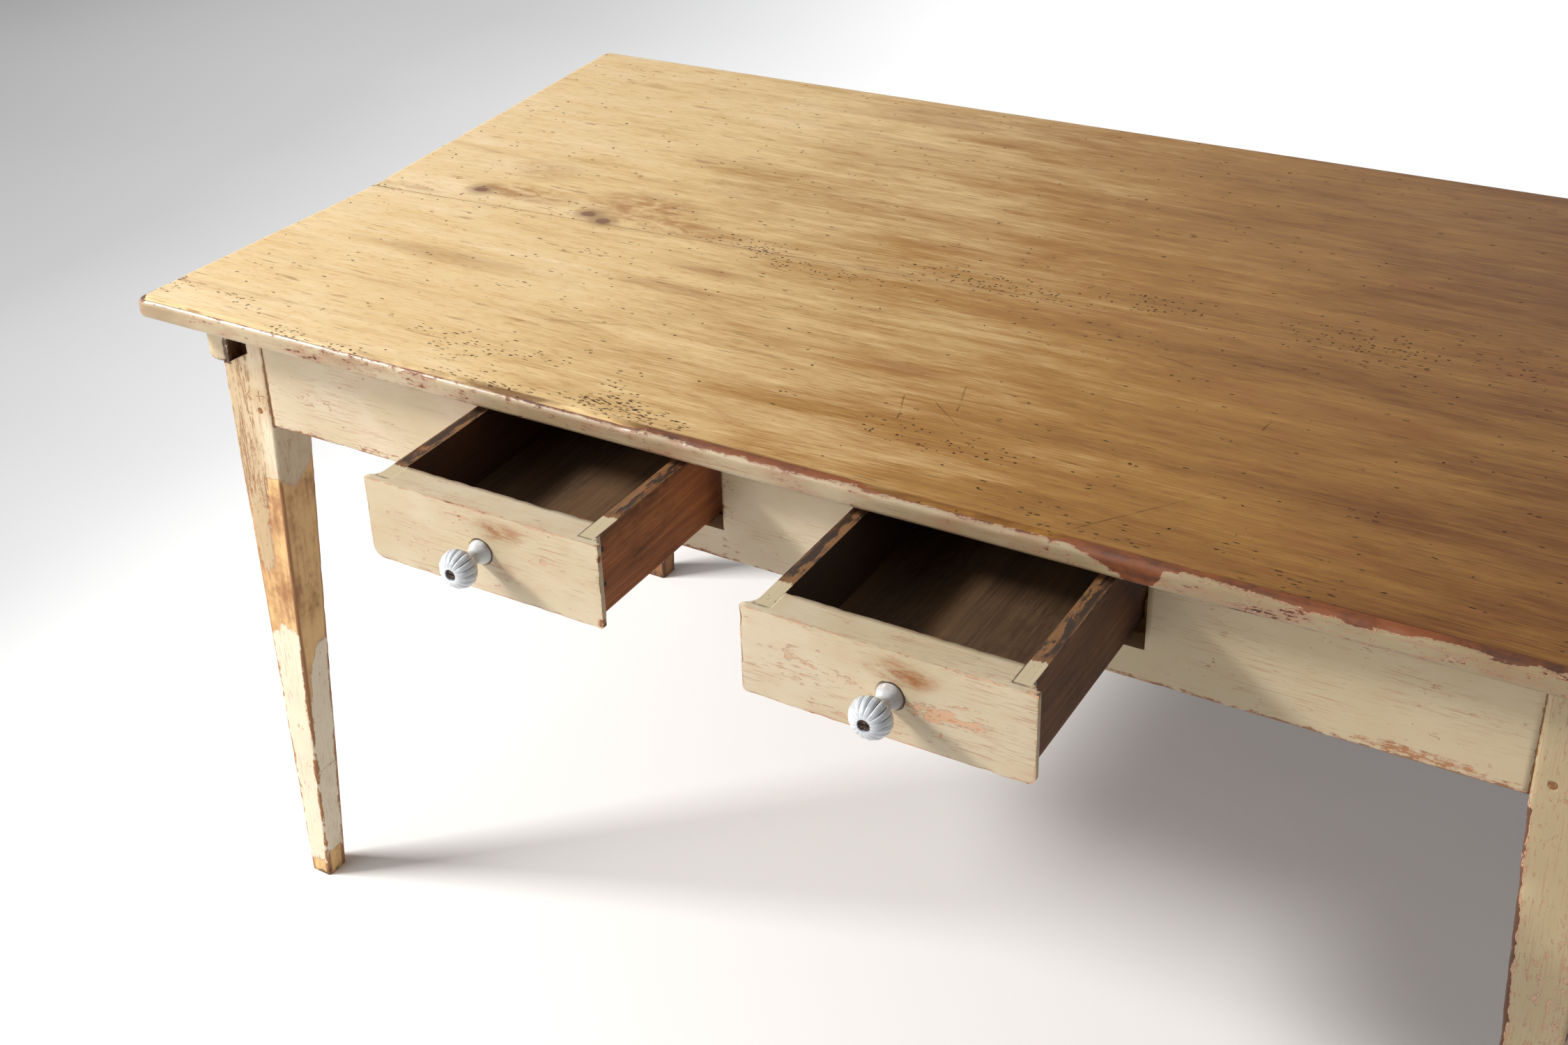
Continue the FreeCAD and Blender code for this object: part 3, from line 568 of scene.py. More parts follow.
    def _dashes(self, graph: Graph, x: Field, y: Field, grit: Field) -> Field:
        """Return the short dark dashes along the grain, denser near the front edge, ragged by the grit."""
        near_front = y.band(self.front_edge + self.dash_band[0], self.front_edge + self.dash_band[1])
        near_front = near_front * x.band(*self.dash_from).over(0.15) * 5.0
        strip = abs(y - self._joint_middle(x)).band(0.09, 0.0) * 0.5
        crowd = graph.noise(graph.join(x * 7.0, y * 18.0, self.seed + 2.0), detail=2.0).band(0.50, 0.64)
        marks: Field | None = None
        for kind in self.dash_kinds:
            place = graph.join(x * kind.along, (y - x * kind.slant) * kind.across, self.seed + kind.slant)
            reach, pick = graph.cells(place)
            density = (near_front + strip + 0.10) * crowd * kind.chance + kind.chance * 0.03
            dash = (reach + grit).band(0.42, 0.22) * graph.math("LESS_THAN", pick, density)
            marks = dash if marks is None else marks.over(dash)
        long_reach, long_pick = graph.cells(graph.join(x * 22.0, y * 420.0, self.seed + 7.0))
        streak = long_reach.band(0.40, 0.10) * graph.math("LESS_THAN", long_pick, 0.035) * 0.55
        return marks.over(streak)

    def _scratch_marks(self, graph: Graph, x: Field, y: Field, blotch: Field) -> Field:
        """Return the scratches across the grain, unevenly deep."""
        marks: Field | None = None
        bend = (blotch - 0.5) * 0.006
        for start, end, width in self.scratches:
            mark = graph.stroke(x + bend, y, start, end, width * 1.6) * blotch.band(0.34, 0.60) * 0.50
            marks = mark if marks is None else marks.over(mark)
        return marks


@dataclass(frozen=True)
class Spot:
    """A bare or dirty place on a painted face: its middle in X and Z, its half sizes and its strength."""

    middle: Point2
    radii: Point2
    strength: float


@dataclass(frozen=True)
class CreamPaint:
    """Old cream paint over a pink undercoat and wood: hairlines along the grain, flakes, crackle and dirt,
    with painted shade in a few places.

    Where it is lost, cracked or darkened comes from the mesh: "bare" is 0.5 at the edge of the bare places,
    "edge" is the distance to the nearest arris, and "crackle" and "darkening" are shares. The darkening is
    dirt in some places and painted shade in others.
    """

    name: str
    grain: Axis
    seed: float = 0.0
    paint: Colour = srgb(205, 189, 162)
    faded: Colour = srgb(194, 177, 144)
    blush: Colour = srgb(194, 163, 134)
    olive: Colour = srgb(174, 155, 119)
    low_paint: Colour | None = None
    low_band: Point2 = (0.46, 0.34)
    olive_band: Point2 = (-0.20, 0.85)
    undercoat: Colour = srgb(208, 164, 126)
    wood_light: Colour = srgb(200, 150, 96)
    wood_dark: Colour = srgb(138, 98, 64)
    line_colour: Colour = srgb(168, 126, 98)
    crack_colour: Colour = srgb(142, 96, 58)
    smudge_colour: Colour = srgb(160, 106, 62)
    dirt_and_shade: Colour = srgb(74, 50, 32)
    hairlines: float = 1.0
    flecks: float = 1.0
    mottling: float = 1.0
    wood_from: float = 0.53
    edge_reach: float = 0.0030
    edge_softness: float = 0.0045
    roughness: float = 0.42
    relief: float = 0.0006
    strokes: tuple[tuple[Point2, Point2, float], ...] = ()
    spots: tuple[Spot, ...] = ()
    smudges: tuple[Spot, ...] = ()
    ring: tuple[Point2, float] | None = None
    ring_width: Point2 = (0.0022, 0.0010)

    def material(self) -> bpy.types.Material:
        """Return the finished material."""
        graph = Graph(self.name)
        x, _, z = graph.split(graph.position)
        along, a, b = graph.along_and_across(self.grain)
        bare, edge, crackle, darkening = (graph.attribute(name) for name in WEAR_LAYERS)
        mottle = graph.noise(graph.stretch(graph.position, (11.0, 11.0, 11.0), self.seed), detail=3.0)
        cloud_place = graph.join(along * 26.0, a * 75.0, b * 75.0 + self.seed)
        cloud = graph.noise(cloud_place, detail=3.0, roughness=0.6)
        flake = graph.noise(graph.join(along * 75.0, a * 380.0, b * 380.0), detail=4.0, roughness=0.62)
        grain = graph.noise(graph.join(along * 9.0, a * 170.0, b * 170.0), detail=3.0, roughness=0.6)
        ragged = graph.noise(graph.stretch(graph.position, (150.0, 150.0, 150.0), self.seed), detail=4.0)

        by_edge = (mottle * 1.2 + cloud * 1.2 - 0.55) * self.edge_reach - edge
        lost = bare.over(by_edge / (2 * self.edge_softness) + 0.5)
        for spot in self.spots:
            lost = lost.over(graph.oval(x, z, spot.middle, spot.radii) * spot.strength)
        lost = lost.over(crackle * 0.34) + (flake - 0.5) * 1.10 + (ragged - 0.5) * 0.60 + (cloud - 0.5) * 0.60
        undercoat, wood = lost.band(0.47, 0.51), lost.band(self.wood_from, self.wood_from + 0.07)
        hair, deep = self._hairlines(graph, along, a, b, mottle)
        lines = self._crackle(graph, x, z, along, a, b, crackle, ragged)

        colour = graph.mix(mottle.band(0.36, 0.66), self.paint, self.faded)
        rosy = (cloud.band(0.44, 0.70) * (0.15 + mottle * 0.4) * self.mottling).under(1.0)
        colour = graph.mix(rosy, colour, self.blush)
        colour = graph.mix(x.band(*self.olive_band) * 0.70, colour, self.olive)
        if self.low_paint is not None:
            colour = graph.mix(z.band(*self.low_band) * 0.75, colour, self.low_paint)
        colour = graph.mix(crackle * 0.8, colour, self.faded)
        colour = graph.mix(hair * 0.62, colour, self.line_colour)
        colour = graph.mix(deep * 0.80, colour, self.crack_colour)
        colour = graph.mix(lost.band(0.40, 0.48) * 0.25, colour, self.line_colour)
        pink = graph.mix(cloud.band(0.4, 0.62) * 0.7, self.undercoat, self.blush)
        colour = graph.mix(undercoat, colour, pink)
        patina = (grain * 0.45 + cloud * 0.5 + ragged * 0.35 + mottle * 1.2).band(1.10, 1.62)
        patina = patina.over(edge.band(0.006, 0.002))
        timber = graph.mix(patina, self.wood_light, self.wood_dark)
        colour = graph.mix(wood, colour, timber)
        colour = graph.mix(lines * 0.80, colour, self.crack_colour)
        # Darkening: mostly dirt, but painted shade in the leg's recess and on the left batten's inner face.
        stain = (darkening * ((ragged - 0.5) * 4.0 + (cloud - 0.5) * 4.0 + 1.0)).band(0.25, 0.85)
        for smudge in self.smudges:
            patch = graph.oval(x, z, smudge.middle, smudge.radii)
            patch = patch * (cloud * 0.7 + flake * 0.5).band(0.42, 0.70)
            colour = graph.mix(patch * smudge.strength, colour, self.smudge_colour)
        colour = graph.mix(stain * 0.88, colour, self.dirt_and_shade)
        if self.ring is not None:
            (ring_x, ring_z), radius = self.ring
            off_x, off_z = x - ring_x, z - ring_z
            away = graph.math("SQRT", off_x * off_x + off_z * off_z) + (ragged - 0.5) * 0.0022
            upper_right = (off_x * 0.8 + off_z * 0.6).band(-0.010, 0.004) * 0.75 + 0.25
            rim = away.band(radius + self.ring_width[0], radius + self.ring_width[1])
            colour = graph.mix(rim * upper_right, colour, self.dirt_and_shade)

        height = (1.0 - undercoat) * 0.55 + (1.0 - wood) * 0.25 - hair * 0.12 - deep * 0.35 - lines * 0.35
        normal = graph.bump(height + grain * 0.10 + flake * 0.10, self.relief)
        shine = self.roughness + wood * 0.16 + undercoat * 0.10 + (mottle - 0.5) * 0.16 + lines * 0.2
        graph.finish(colour, shine, normal, Specular_IOR_Level=0.42)
        return graph.material

    def _hairlines(
        self, graph: Graph, along: Field, a: Field, b: Field, mottle: Field
    ) -> tuple[Field, Field]:
        """Return the pale hairlines along the grain, and the few dark pits and dashes.

        Args:
            graph: the material's graph.
            along: the coordinate along the grain.
            a: the first coordinate across it.
            b: the second coordinate across it.
            mottle: the broad noise.

        Returns:
            Both as shares.
        """
        fine_place = graph.join(along * 55.0, a * 900.0, b * 900.0 + self.seed)
        fine = graph.noise(fine_place, detail=3.0, roughness=0.6)
        long = graph.noise(graph.join(along * 20.0, a * 700.0 + self.seed, b * 700.0))
        patchy = graph.noise(graph.join(along * 9.0, a * 30.0, b * 30.0 + self.seed)).band(0.40, 0.64)
        hair = fine.band(0.56, 0.68) * (0.15 + patchy * 0.60)
        hair = (hair.over(long.band(0.59, 0.66) * (patchy * 0.85 + 0.10)) * self.hairlines).under(1.0)
        reach, pick = graph.cells(graph.join(along * 150.0, a * 470.0, b * 470.0))
        crowd = mottle.band(0.50, 0.80) * (0.010 * self.flecks) + 0.0012 * self.flecks
        return hair, reach.band(0.40, 0.24) * graph.math("LESS_THAN", pick, crowd) * 0.8

    def _crackle(
        self, graph: Graph, x: Field, z: Field, along: Field, a: Field, b: Field, amount: Field, ragged: Field
    ) -> Field:
        """Return the cracks in the paint: a fine net, wandering lines along the grain, and single cracks.

        Args:
            graph: the material's graph.
            x: the position along X.
            z: the position along Z.
            along: the coordinate along the grain.
            a: the first coordinate across it.
            b: the second coordinate across it.
            amount: how cracked the paint is.
            ragged: the fine noise.

        Returns:
            The cracks' strength.
        """
        warp = (ragged - 0.5) * 1.3
        net = graph.cracks(graph.join(along * 125.0 + warp, a * 270.0 + warp, b * 270.0))
        uneven = (amount + (ragged - 0.5) * 2.2).band(0.62, 1.15)
        lines = net.band(0.11, 0.02) * uneven * 0.60
        wander_place = graph.join(along * 9.0, a * 120.0, b * 120.0 + self.seed)
        wander = graph.noise(wander_place, detail=4.0, roughness=0.6)
        long_cracks = abs(wander - 0.5).band(0.030, 0.010) * (amount + (ragged - 0.5) * 1.6).band(0.38, 0.7)
        lines = lines.over(long_cracks)
        sway = (ragged - 0.5) * 0.005
        for start, end, width in self.strokes:
            lines = lines.over(graph.stroke(x + sway, z + sway, start, end, width))
        return lines


@dataclass(frozen=True)
class AgedPine:
    """Bare wood darkened by handling: the drawers' insides, the runners and whatever was never painted.

    Between the inner faces of a drawer's sides it also carries painted shade.
    """

    name: str
    grain: Axis
    light: Colour
    mid: Colour
    dark: Colour
    seed: float = 0.0
    streak_width: float = 0.022
    dirt_and_shade: Colour = srgb(48, 34, 24)
    darkening: float = 0.45
    roughness: float = 0.55
    top_level: float | None = None
    tip_end: float | None = None
    inner_edge: tuple[float, float] | None = None
    worn_edge: Colour = srgb(130, 92, 58)
    inside: tuple[float, float] | None = None
    inside_shade_share: float = 0.7
    paint: Colour = srgb(196, 180, 148)

    def material(self) -> bpy.types.Material:
        """Return the finished material."""
        graph = Graph(self.name)
        x, y, z = graph.split(graph.position)
        along, a, b = graph.along_and_across(self.grain)
        sway = graph.noise(graph.join(along * 2.5, a * 6.0, b * 6.0 + self.seed), detail=1.0) - 0.5
        a, b = a + sway * 0.012, b + sway * 0.012
        streaks = 1.0 / self.streak_width
        broad_place = graph.join(along * 2.4, a * streaks, b * streaks)
        broad = graph.noise(broad_place, detail=4.0, roughness=0.55, warp=0.3)
        ring_place = graph.join(along * 3.0, a * streaks * 9.0, b * streaks * 9.0)
        rings = graph.noise(ring_place, detail=4.0, roughness=0.65)
        fibre = graph.noise(graph.join(along * 26.0, a * 1000.0, b * 1000.0), detail=3.0, roughness=0.6)
        tone = (broad * 0.48 + rings * 0.32 + fibre * 0.30).band(0.40, 0.72)
        colour = graph.ramp(tone, ((0.0, self.light), (0.5, self.mid), (1.0, self.dark)))
        smear_place = graph.stretch(graph.position, (14.0, 14.0, 26.0), self.seed)
        smear = graph.noise(smear_place, detail=4.0, roughness=0.6)
        grit_place = graph.stretch(graph.position, (230.0, 60.0, 230.0), self.seed)
        grit = graph.noise(grit_place, detail=4.0, roughness=0.65)
        colour = graph.mix(smear.band(0.46, 0.66) * grit.band(0.36, 0.60) * self.darkening, colour, self.dirt_and_shade)
        # Painted shade: between the inner faces of a drawer's sides the wood is darkened.
        if self.inside is not None:
            low, high = self.inside
            in_shaded_inside = x.band(low - 0.0006, low) * x.band(high + 0.0006, high)
            colour = graph.mix(in_shaded_inside * self.inside_shade_share, colour, self.dirt_and_shade)
        if self.top_level is not None:
            colour = self._worn_top(graph, colour, x, y, z, smear, grit)
        normal = graph.bump(fibre * 0.5 + rings * 0.4 - smear.band(0.6, 0.75) * 0.3, 0.0005)
        graph.finish(colour, self.roughness + smear * 0.2, normal, Specular_IOR_Level=0.35)
        return graph.material

    def _worn_top(
        self, graph: Graph, colour: Field, x: Field, y: Field, z: Field, smear: Field, grit: Field
    ) -> Field:
        """Return the colour with a dark, dirty top edge, and the paint that laps onto its front end.

        Args:
            graph: the material's graph.
            colour: the wood's colour.
            x: the position along X.
            y: the position along Y.
            z: the position along Z.
            smear: the noise that the dirt follows.
            grit: the finer noise that worn places follow.

        Returns:
            The colour.
        """
        on_top = z.band(self.top_level - 0.0012, self.top_level - 0.0004)
        near_top = z.band(self.top_level - 0.010, self.top_level)
        colour = graph.mix(near_top * grit.band(0.44, 0.56) * 0.7, colour, self.dirt_and_shade)
        dirty = (smear * 0.6 + grit * 0.6).band(0.52, 0.64) * 0.65 + 0.30
        colour = graph.mix(on_top * dirty, colour, self.dirt_and_shade)
        if self.inner_edge is not None:
            inner, outer = self.inner_edge
            wobble = (grit * 0.7 + smear * 0.5 - 0.6) * (outer - inner) * 1.8
            rubbed = (x + wobble).band(inner + (outer - inner) * 0.52, inner + (outer - inner) * 0.40)
            rim = (x + wobble * 0.5).band(outer - (outer - inner) * 0.14, outer) * smear.band(0.40, 0.55)
            worn = rubbed.over(rim) * on_top * grit.band(0.66, 0.46) * 0.9
            colour = graph.mix(worn, colour, self.worn_edge)
        if self.tip_end is None:
            return colour
        place = y + (grit - 0.5) * 0.016
        bared = place.band(self.tip_end + 0.010, self.tip_end + 0.004) * on_top
        colour = graph.mix(bared * 0.6, colour, self.worn_edge)
        painted = place.band(self.tip_end + 0.0006, self.tip_end - 0.0014) * on_top
        chipped = grit.band(0.70, 0.64)
        return graph.mix(painted * chipped, colour, self.paint)


@dataclass(frozen=True)
class GlazedPorcelain:
    """The knobs: pale blue-grey glaze with painted shade along each groove's middle and painted highlights on
    its flanks, and a few rust marks.
    """

    name: str
    glaze: Colour = srgb(208, 212, 216)
    ridge_highlight: Colour = srgb(236, 239, 240)
    shade: Colour = srgb(132, 138, 148)
    rust: Colour = srgb(150, 118, 96)

    def material(self) -> bpy.types.Material:
        """Return the finished material."""
        graph = Graph(self.name)
        groove = graph.attribute("groove")
        cloud = graph.noise(graph.stretch(graph.position, (70.0, 70.0, 70.0)), detail=3.0)
        speck = graph.noise(graph.stretch(graph.position, (420.0, 420.0, 420.0)), detail=2.0)
        colour = graph.mix(cloud.band(0.35, 0.7) * 0.45, self.glaze, self.shade)
        # Painted highlight on each groove's flanks and painted shade along its middle.
        flank_highlight = groove.band(0.12, 0.36) * groove.band(0.72, 0.44)
        colour = graph.mix(flank_highlight * 0.75, colour, self.ridge_highlight)
        colour = graph.mix(groove.band(0.55, 0.90) * 0.9, colour, self.shade)
        colour = graph.mix(graph.attribute("stain") * cloud.band(0.40, 0.62) * 0.45, colour, self.rust)
        colour = graph.mix(speck.band(0.70, 0.76) * 0.5, colour, self.rust)
        normal = graph.bump(cloud, 0.0004)
        graph.finish(colour, 0.15 + cloud * 0.10, normal, Coat_Weight=0.6, Coat_Roughness=0.06)
        return graph.material


@dataclass(frozen=True)
class OldIron:
    """Screws, washers, nuts and nails: dull steel gone brown."""

    name: str
    steel: Colour = srgb(92, 84, 78)
    rust: Colour = srgb(62, 38, 26)
    metallic: float = 0.65

    def material(self) -> bpy.types.Material:
        """Return the finished material."""
        graph = Graph(self.name)
        patch = graph.noise(graph.stretch(graph.position, (520.0, 520.0, 520.0)), detail=4.0, roughness=0.6)
        rusty = patch.band(0.42, 0.58)
        colour = graph.mix(rusty, self.steel, self.rust)
        normal = graph.bump(patch, 0.0002)
        graph.finish(colour, 0.38 + rusty * 0.35, normal, Metallic=self.metallic)
        return graph.material


@dataclass(frozen=True)
class StudioFloor:
    """The plain pale floor, which further off turns into a glowing backdrop.

    The backdrop's glow is painted light, dimmer to the left.
    """

    name: str = "studio_floor"
    colour: Colour = (0.965, 0.965, 0.975, 1.0)
    backdrop: tuple[tuple[float, Colour], ...] = (
        (0.0, (0.30, 0.30, 0.305, 1.0)), (0.36, (0.49, 0.49, 0.495, 1.0)), (0.62, (0.60, 0.60, 0.605, 1.0)),
        (0.82, (0.80, 0.80, 0.805, 1.0)), (1.0, (1.0, 1.0, 1.0, 1.0)),
    )
    dimmest: float = -4.3
    brightest: float = -1.1
    behind: Point2 = (0.9, 1.9)
    beside: Point2 = (-0.95, -1.6)

    def material(self) -> bpy.types.Material:
        """Return the finished material."""
        graph = Graph(self.name)
        x, y, _ = graph.split(graph.position)
        cloud = graph.noise(graph.stretch(graph.position, (0.8, 0.8, 0.8)), detail=2.0) - 0.5
        diffuse = graph.field("ShaderNodeBsdfDiffuse", {}, {"Color": self.colour}, "BSDF")
        # Painted light: the glow ramps from dim at the left to white, seen by camera, glossy and transmission
        # rays.
        place = (x + y * 0.10 + cloud * 0.5 - self.dimmest) / (self.brightest - self.dimmest)
        glow_colour = graph.ramp(place, self.backdrop)
        glow = graph.field("ShaderNodeEmission", {}, {"Color": glow_colour, "Strength": 1.0}, "Emission")
        path = graph.node("ShaderNodeLightPath", {}, {})
        seen = Field(graph, path.outputs["Is Camera Ray"]) + Field(graph, path.outputs["Is Glossy Ray"])
        seen = (seen + Field(graph, path.outputs["Is Transmission Ray"])).under(1.0)
        share = y.band(*self.behind).over(x.band(*self.beside)) * seen
        mixed = graph.node("ShaderNodeMixShader", {}, {"Fac": share})
        graph.tree.links.new(diffuse.socket, mixed.inputs[1])
        graph.tree.links.new(glow.socket, mixed.inputs[2])
        surface = Field(graph, mixed.outputs["Shader"])
        graph.node("ShaderNodeOutputMaterial", {}, {"Surface": surface})
        return graph.material


# --- Worn meshes ---


@dataclass(frozen=True)
class Wear:
    """What time has done at one point of a surface: how deep it is worn, and what the paint shows.

    Its darkening is dirt in some places and painted shade in others.
    """

    depth: float = 0.0
    bare: float = 0.0
    edge: float = FAR_FROM_EDGE
    crackle: float = 0.0
    darkening: float = 0.0


WearRule = Callable[[Vector], Wear]
EdgeRule = Callable[[bmesh.types.BMEdge], bool]


def rough(point: Vector, frequency: float, seed: float) -> float:
    """Return smooth noise between about -1 and 1, with this many lumps to a metre."""
    return noise.noise(point * frequency + Vector((seed, seed * 1.7, seed * 2.3)))


def step(value: float, low: float, high: float) -> float:
    """Return a smooth step from 0 at low to 1 at high, which may be the smaller of the two."""
    share = min(max((value - low) / (high - low), 0.0), 1.0)
    return share * share * (3 - 2 * share)


def lookup(table: Sequence[Point2], place: float) -> float:
    """Return the value at a place between the points of a table, which are in order."""
    if place <= table[0][0]:
        return table[0][1]
    for (x0, y0), (x1, y1) in zip(table, table[1:]):
        if place <= x1:
            return y0 + (y1 - y0) * (place - x0) / (x1 - x0)
    return table[-1][1]


def add_object(name: str, mesh: bmesh.types.BMesh, body: str) -> bpy.types.Object:
    """Turn a bmesh into a smooth-shaded piece that rides on a body.

    Args:
        name: the piece's name.
        mesh: its mesh, which is freed.
        body: the body that it moves with.

    Returns:
        The piece.
    """
    data = bpy.data.meshes.new(name)
    mesh.to_mesh(data)
    mesh.free()
    for polygon in data.polygons:
        polygon.use_smooth = True
    data.set_sharp_from_angle(angle=SOFT_EDGE_ANGLE)
    piece = bpy.data.objects.new(name, data)
    bpy.context.scene.collection.objects.link(piece)
    weighted = piece.modifiers.new("flat_faces_stay_flat", "WEIGHTED_NORMAL")
    weighted.keep_sharp = True
    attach(piece, body)
    return piece


def apply_wear(mesh: bmesh.types.BMesh, rule: WearRule) -> None:
    """Wear a mesh: sink each vertex along its normal, and note what shows there.

    Args:
        mesh: the mesh.
        rule: what gives the wear at a point.

    Returns:
        None.
    """
    layers = {name: mesh.verts.layers.float.new(name) for name in WEAR_LAYERS}
    mesh.normal_update()
    moves = []
    for vertex in mesh.verts:
        wear = rule(vertex.co)
        moves.append((vertex, vertex.normal * wear.depth))
        for name, layer in layers.items():
            vertex[layer] = getattr(wear, name)
    for vertex, move in moves:
        vertex.co -= move


def cut_copy(node: str, pitch: Sequence[float], eased: EdgeRule, ease: float) -> bmesh.types.BMesh:
    """Return a node's mesh with some edges eased, cut into strips along each axis.

    Args:
        node: the CAD node.
        pitch: the strips' width along X, Y and Z.
        eased: says which edges are rounded.
        ease: the rounding's width.

    Returns:
        The new mesh.
    """
    mesh = bmesh.new()
    mesh.from_mesh(frame["nodes"][node].data)
    bmesh.ops.remove_doubles(mesh, verts=mesh.verts, dist=WELD)
    bmesh.ops.dissolve_limit(mesh, angle_limit=FLAT_ANGLE, verts=mesh.verts, edges=mesh.edges)
    chosen = [edge for edge in mesh.edges if eased(edge)]
    if chosen:
        bmesh.ops.bevel(
            mesh, geom=chosen, offset=ease, segments=3, profile=0.5, affect="EDGES", clamp_overlap=True
        )
    low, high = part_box(node)
    for axis, width in enumerate(pitch):
        count = max(1, round((high[axis] - low[axis]) / width))
        direction = Vector([float(index == axis) for index in range(3)])
        for index in range(1, count):
            place = direction * (low[axis] + (high[axis] - low[axis]) * index / count)
            geometry = mesh.verts[:] + mesh.edges[:] + mesh.faces[:]
            bmesh.ops.bisect_plane(mesh, geom=geometry, dist=WELD, plane_co=place, plane_no=direction)
    return mesh


def worn_copy(
    node: str, pitch: Sequence[float], rule: WearRule, finish: bpy.types.Material,
    eased: EdgeRule = lambda edge: False, ease: float = 0.0012,
) -> bpy.types.Object:
    """Make a worn copy of a CAD node, which it replaces.

    Args:
        node: the CAD node.
        pitch: how finely it is cut along X, Y and Z.
        rule: what gives the wear at a point.
        finish: its material.
        eased: says which edges are rounded first.
        ease: the rounding's width.

    Returns:
        The piece.
    """
    mesh = cut_copy(node, pitch, eased, ease)
    apply_wear(mesh, rule)
    body = frame["nodes"][node]["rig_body"]
    piece = add_object(f"worn_{node}", mesh, body)
    piece.data.materials.append(finish)
    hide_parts(node)
    log.info("%s: %d faces", piece.name, len(piece.data.polygons))
    return piece


# --- Top ---


@dataclass
class TopBoard:
    """One board of the top: a flat, waxed face and a rounded, painted nosing on its three free edges."""

    node: str
    outer_at_low_y: bool
    upper_radius: float = 0.009
    lower_radius: float = 0.006
    corner_radius: float = 0.012
    end_hollow: float = 0.022
    front_edge_pitch: float = 0.004
    joint_ease: float = 0.0005
    joint_ease_height: float = 0.0008
    upper_steps: int = 8
    lower_steps: int = 4
    corner_steps: int = 8
    bare_reach: tuple[Point2, ...] = (
        (-0.748, 0.0120), (-0.743, 0.0070), (-0.734, 0.0006), (-0.600, 0.0004), (-0.480, 0.0008),
        (-0.360, 0.0012), (-0.300, 0.0020), (-0.200, 0.0022), (-0.135, 0.0026), (-0.112, 0.0060),
        (-0.020, 0.0080), (0.050, 0.0070), (0.092, 0.0050), (0.112, 0.0014), (0.258, 0.0016),
        (0.282, 0.0080), (0.308, 0.0140), (0.326, 0.0280), (0.343, 0.0280), (0.353, 0.0110),
        (0.372, 0.0062), (0.400, 0.0060), (0.450, 0.0080), (0.468, 0.0110), (0.520, 0.0105),
        (0.548, 0.0070), (0.580, 0.0060), (0.610, 0.0095), (0.622, 0.0060), (0.750, 0.0060),
    )
    flaking: tuple[Point2, ...] = (
        (-0.740, 0.26), (-0.660, 0.30), (-0.560, 0.33), (-0.400, 0.35), (-0.200, 0.34), (-0.050, 0.29),
        (0.100, 0.24), (0.250, 0.29), (0.400, 0.36), (0.750, 0.38),
    )
    bare_softness: float = 0.0042
    end_reach: float = 0.0008
    lapped_rows: int = 3
    lap_reach: Point2 = (0.0058, 0.0030)
    rim: float = 0.0015
    front_strip: float = 0.03
    low_edge_band: Point2 = (0.024, 0.031)
    dent_depth: float = 0.0022
    paint_film: float = 0.0004
    hollow: float = 0.00025
    inward_probe: float = 0.001

    def __post_init__(self) -> None:
        """Read the board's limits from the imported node."""
        self.low, self.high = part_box(self.node)
        self.outer = self.low.y if self.outer_at_low_y else self.high.y
        joint_side = self.high.y if self.outer_at_low_y else self.low.y
        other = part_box("top_back_board")[0].y if self.outer_at_low_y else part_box("top_front_board")[1].y
        near, far = sorted((joint_side, other))
        self.joint_left = Vector((self.low.x + self.end_hollow, near))
        self.joint_right = Vector((self.high.x, far))

    def outline(self) -> tuple[list[Vector], list[bool]]:
        """Return the board's outline, and which of its edges have a nosing.

        Returns:
            The points, counterclockwise from above, and for the edge after each whether it has a nosing.
        """
        left, right = self.low.x, self.high.x
        inward = 1.0 if self.outer_at_low_y else -1.0
        corner = self.corner_radius
        turn = self.outer + inward * corner
        points = self._line(self.joint_left, Vector((left, turn)))
        points += self._corner(Vector((left + corner, turn)), Vector((-1, 0)), inward)
        points += self._line(Vector((left + corner, self.outer)), Vector((right - corner, self.outer)))
        points += self._corner(Vector((right - corner, turn)), Vector((0, -inward)), inward)
        points += self._line(Vector((right, turn)), self.joint_right)
        nosed = [True] * len(points) + [False]
        points.append(self.joint_right)
        if not self.outer_at_low_y:
            points = [points[0]] + points[:0:-1]
            nosed = nosed[::-1]
        return points, nosed

    def _line(self, start: Vector, end: Vector) -> list[Vector]:
        """Return evenly spaced points from start up to, but without, end."""
        count = max(1, round((end - start).length / self.front_edge_pitch))
        return [start.lerp(end, index / count) for index in range(count)]

    def _corner(self, middle: Vector, start: Vector, inward: float) -> list[Vector]:
        """Return the points of a rounded corner, turning from a start direction, without the last."""
        points = []
        for index in range(self.corner_steps):
            angle = inward * math.pi / 2 * index / self.corner_steps
            turned = Vector((
                start.x * math.cos(angle) - start.y * math.sin(angle),
                start.x * math.sin(angle) + start.y * math.cos(angle),
            ))
            points.append(middle + turned * self.corner_radius)
        return points

    def rings(self) -> list[tuple[float, float, float]]:
        """Return the nosing's profile from the underside up: inset, height and tilt of the surface."""
        rows = []
        for index in range(self.lower_steps + 1):
            angle = math.pi / 2 * index / self.lower_steps
            inset = self.lower_radius * (1 - math.sin(angle))
            height = self.low.z + self.lower_radius * (1 - math.cos(angle))
            rows.append((inset, height, angle - math.pi / 2))
        middle = self.high.z - self.upper_radius
        for index in range(self.upper_steps + 1):
            angle = math.pi / 2 * index / self.upper_steps
            inset = self.upper_radius * (1 - math.cos(angle))
            rows.append((inset, middle + self.upper_radius * math.sin(angle), angle))
        rows.append((self.upper_radius + self.rim, self.high.z, math.pi / 2))
        return rows

    def reach(self, x: float, y: float) -> float:
        """Return how far down the nosing the paint is gone at a place along it."""
        at_front = self.outer_at_low_y and y < self.low.y + self.front_strip
        return lookup(self.bare_reach, x) if at_front else self.end_reach

    def laps(self, reach: float) -> int:
        """Return how many rows below the flat are bare waxed wood, for this reach of lost paint."""
        return round(self.lapped_rows * step(reach, *self.lap_reach))

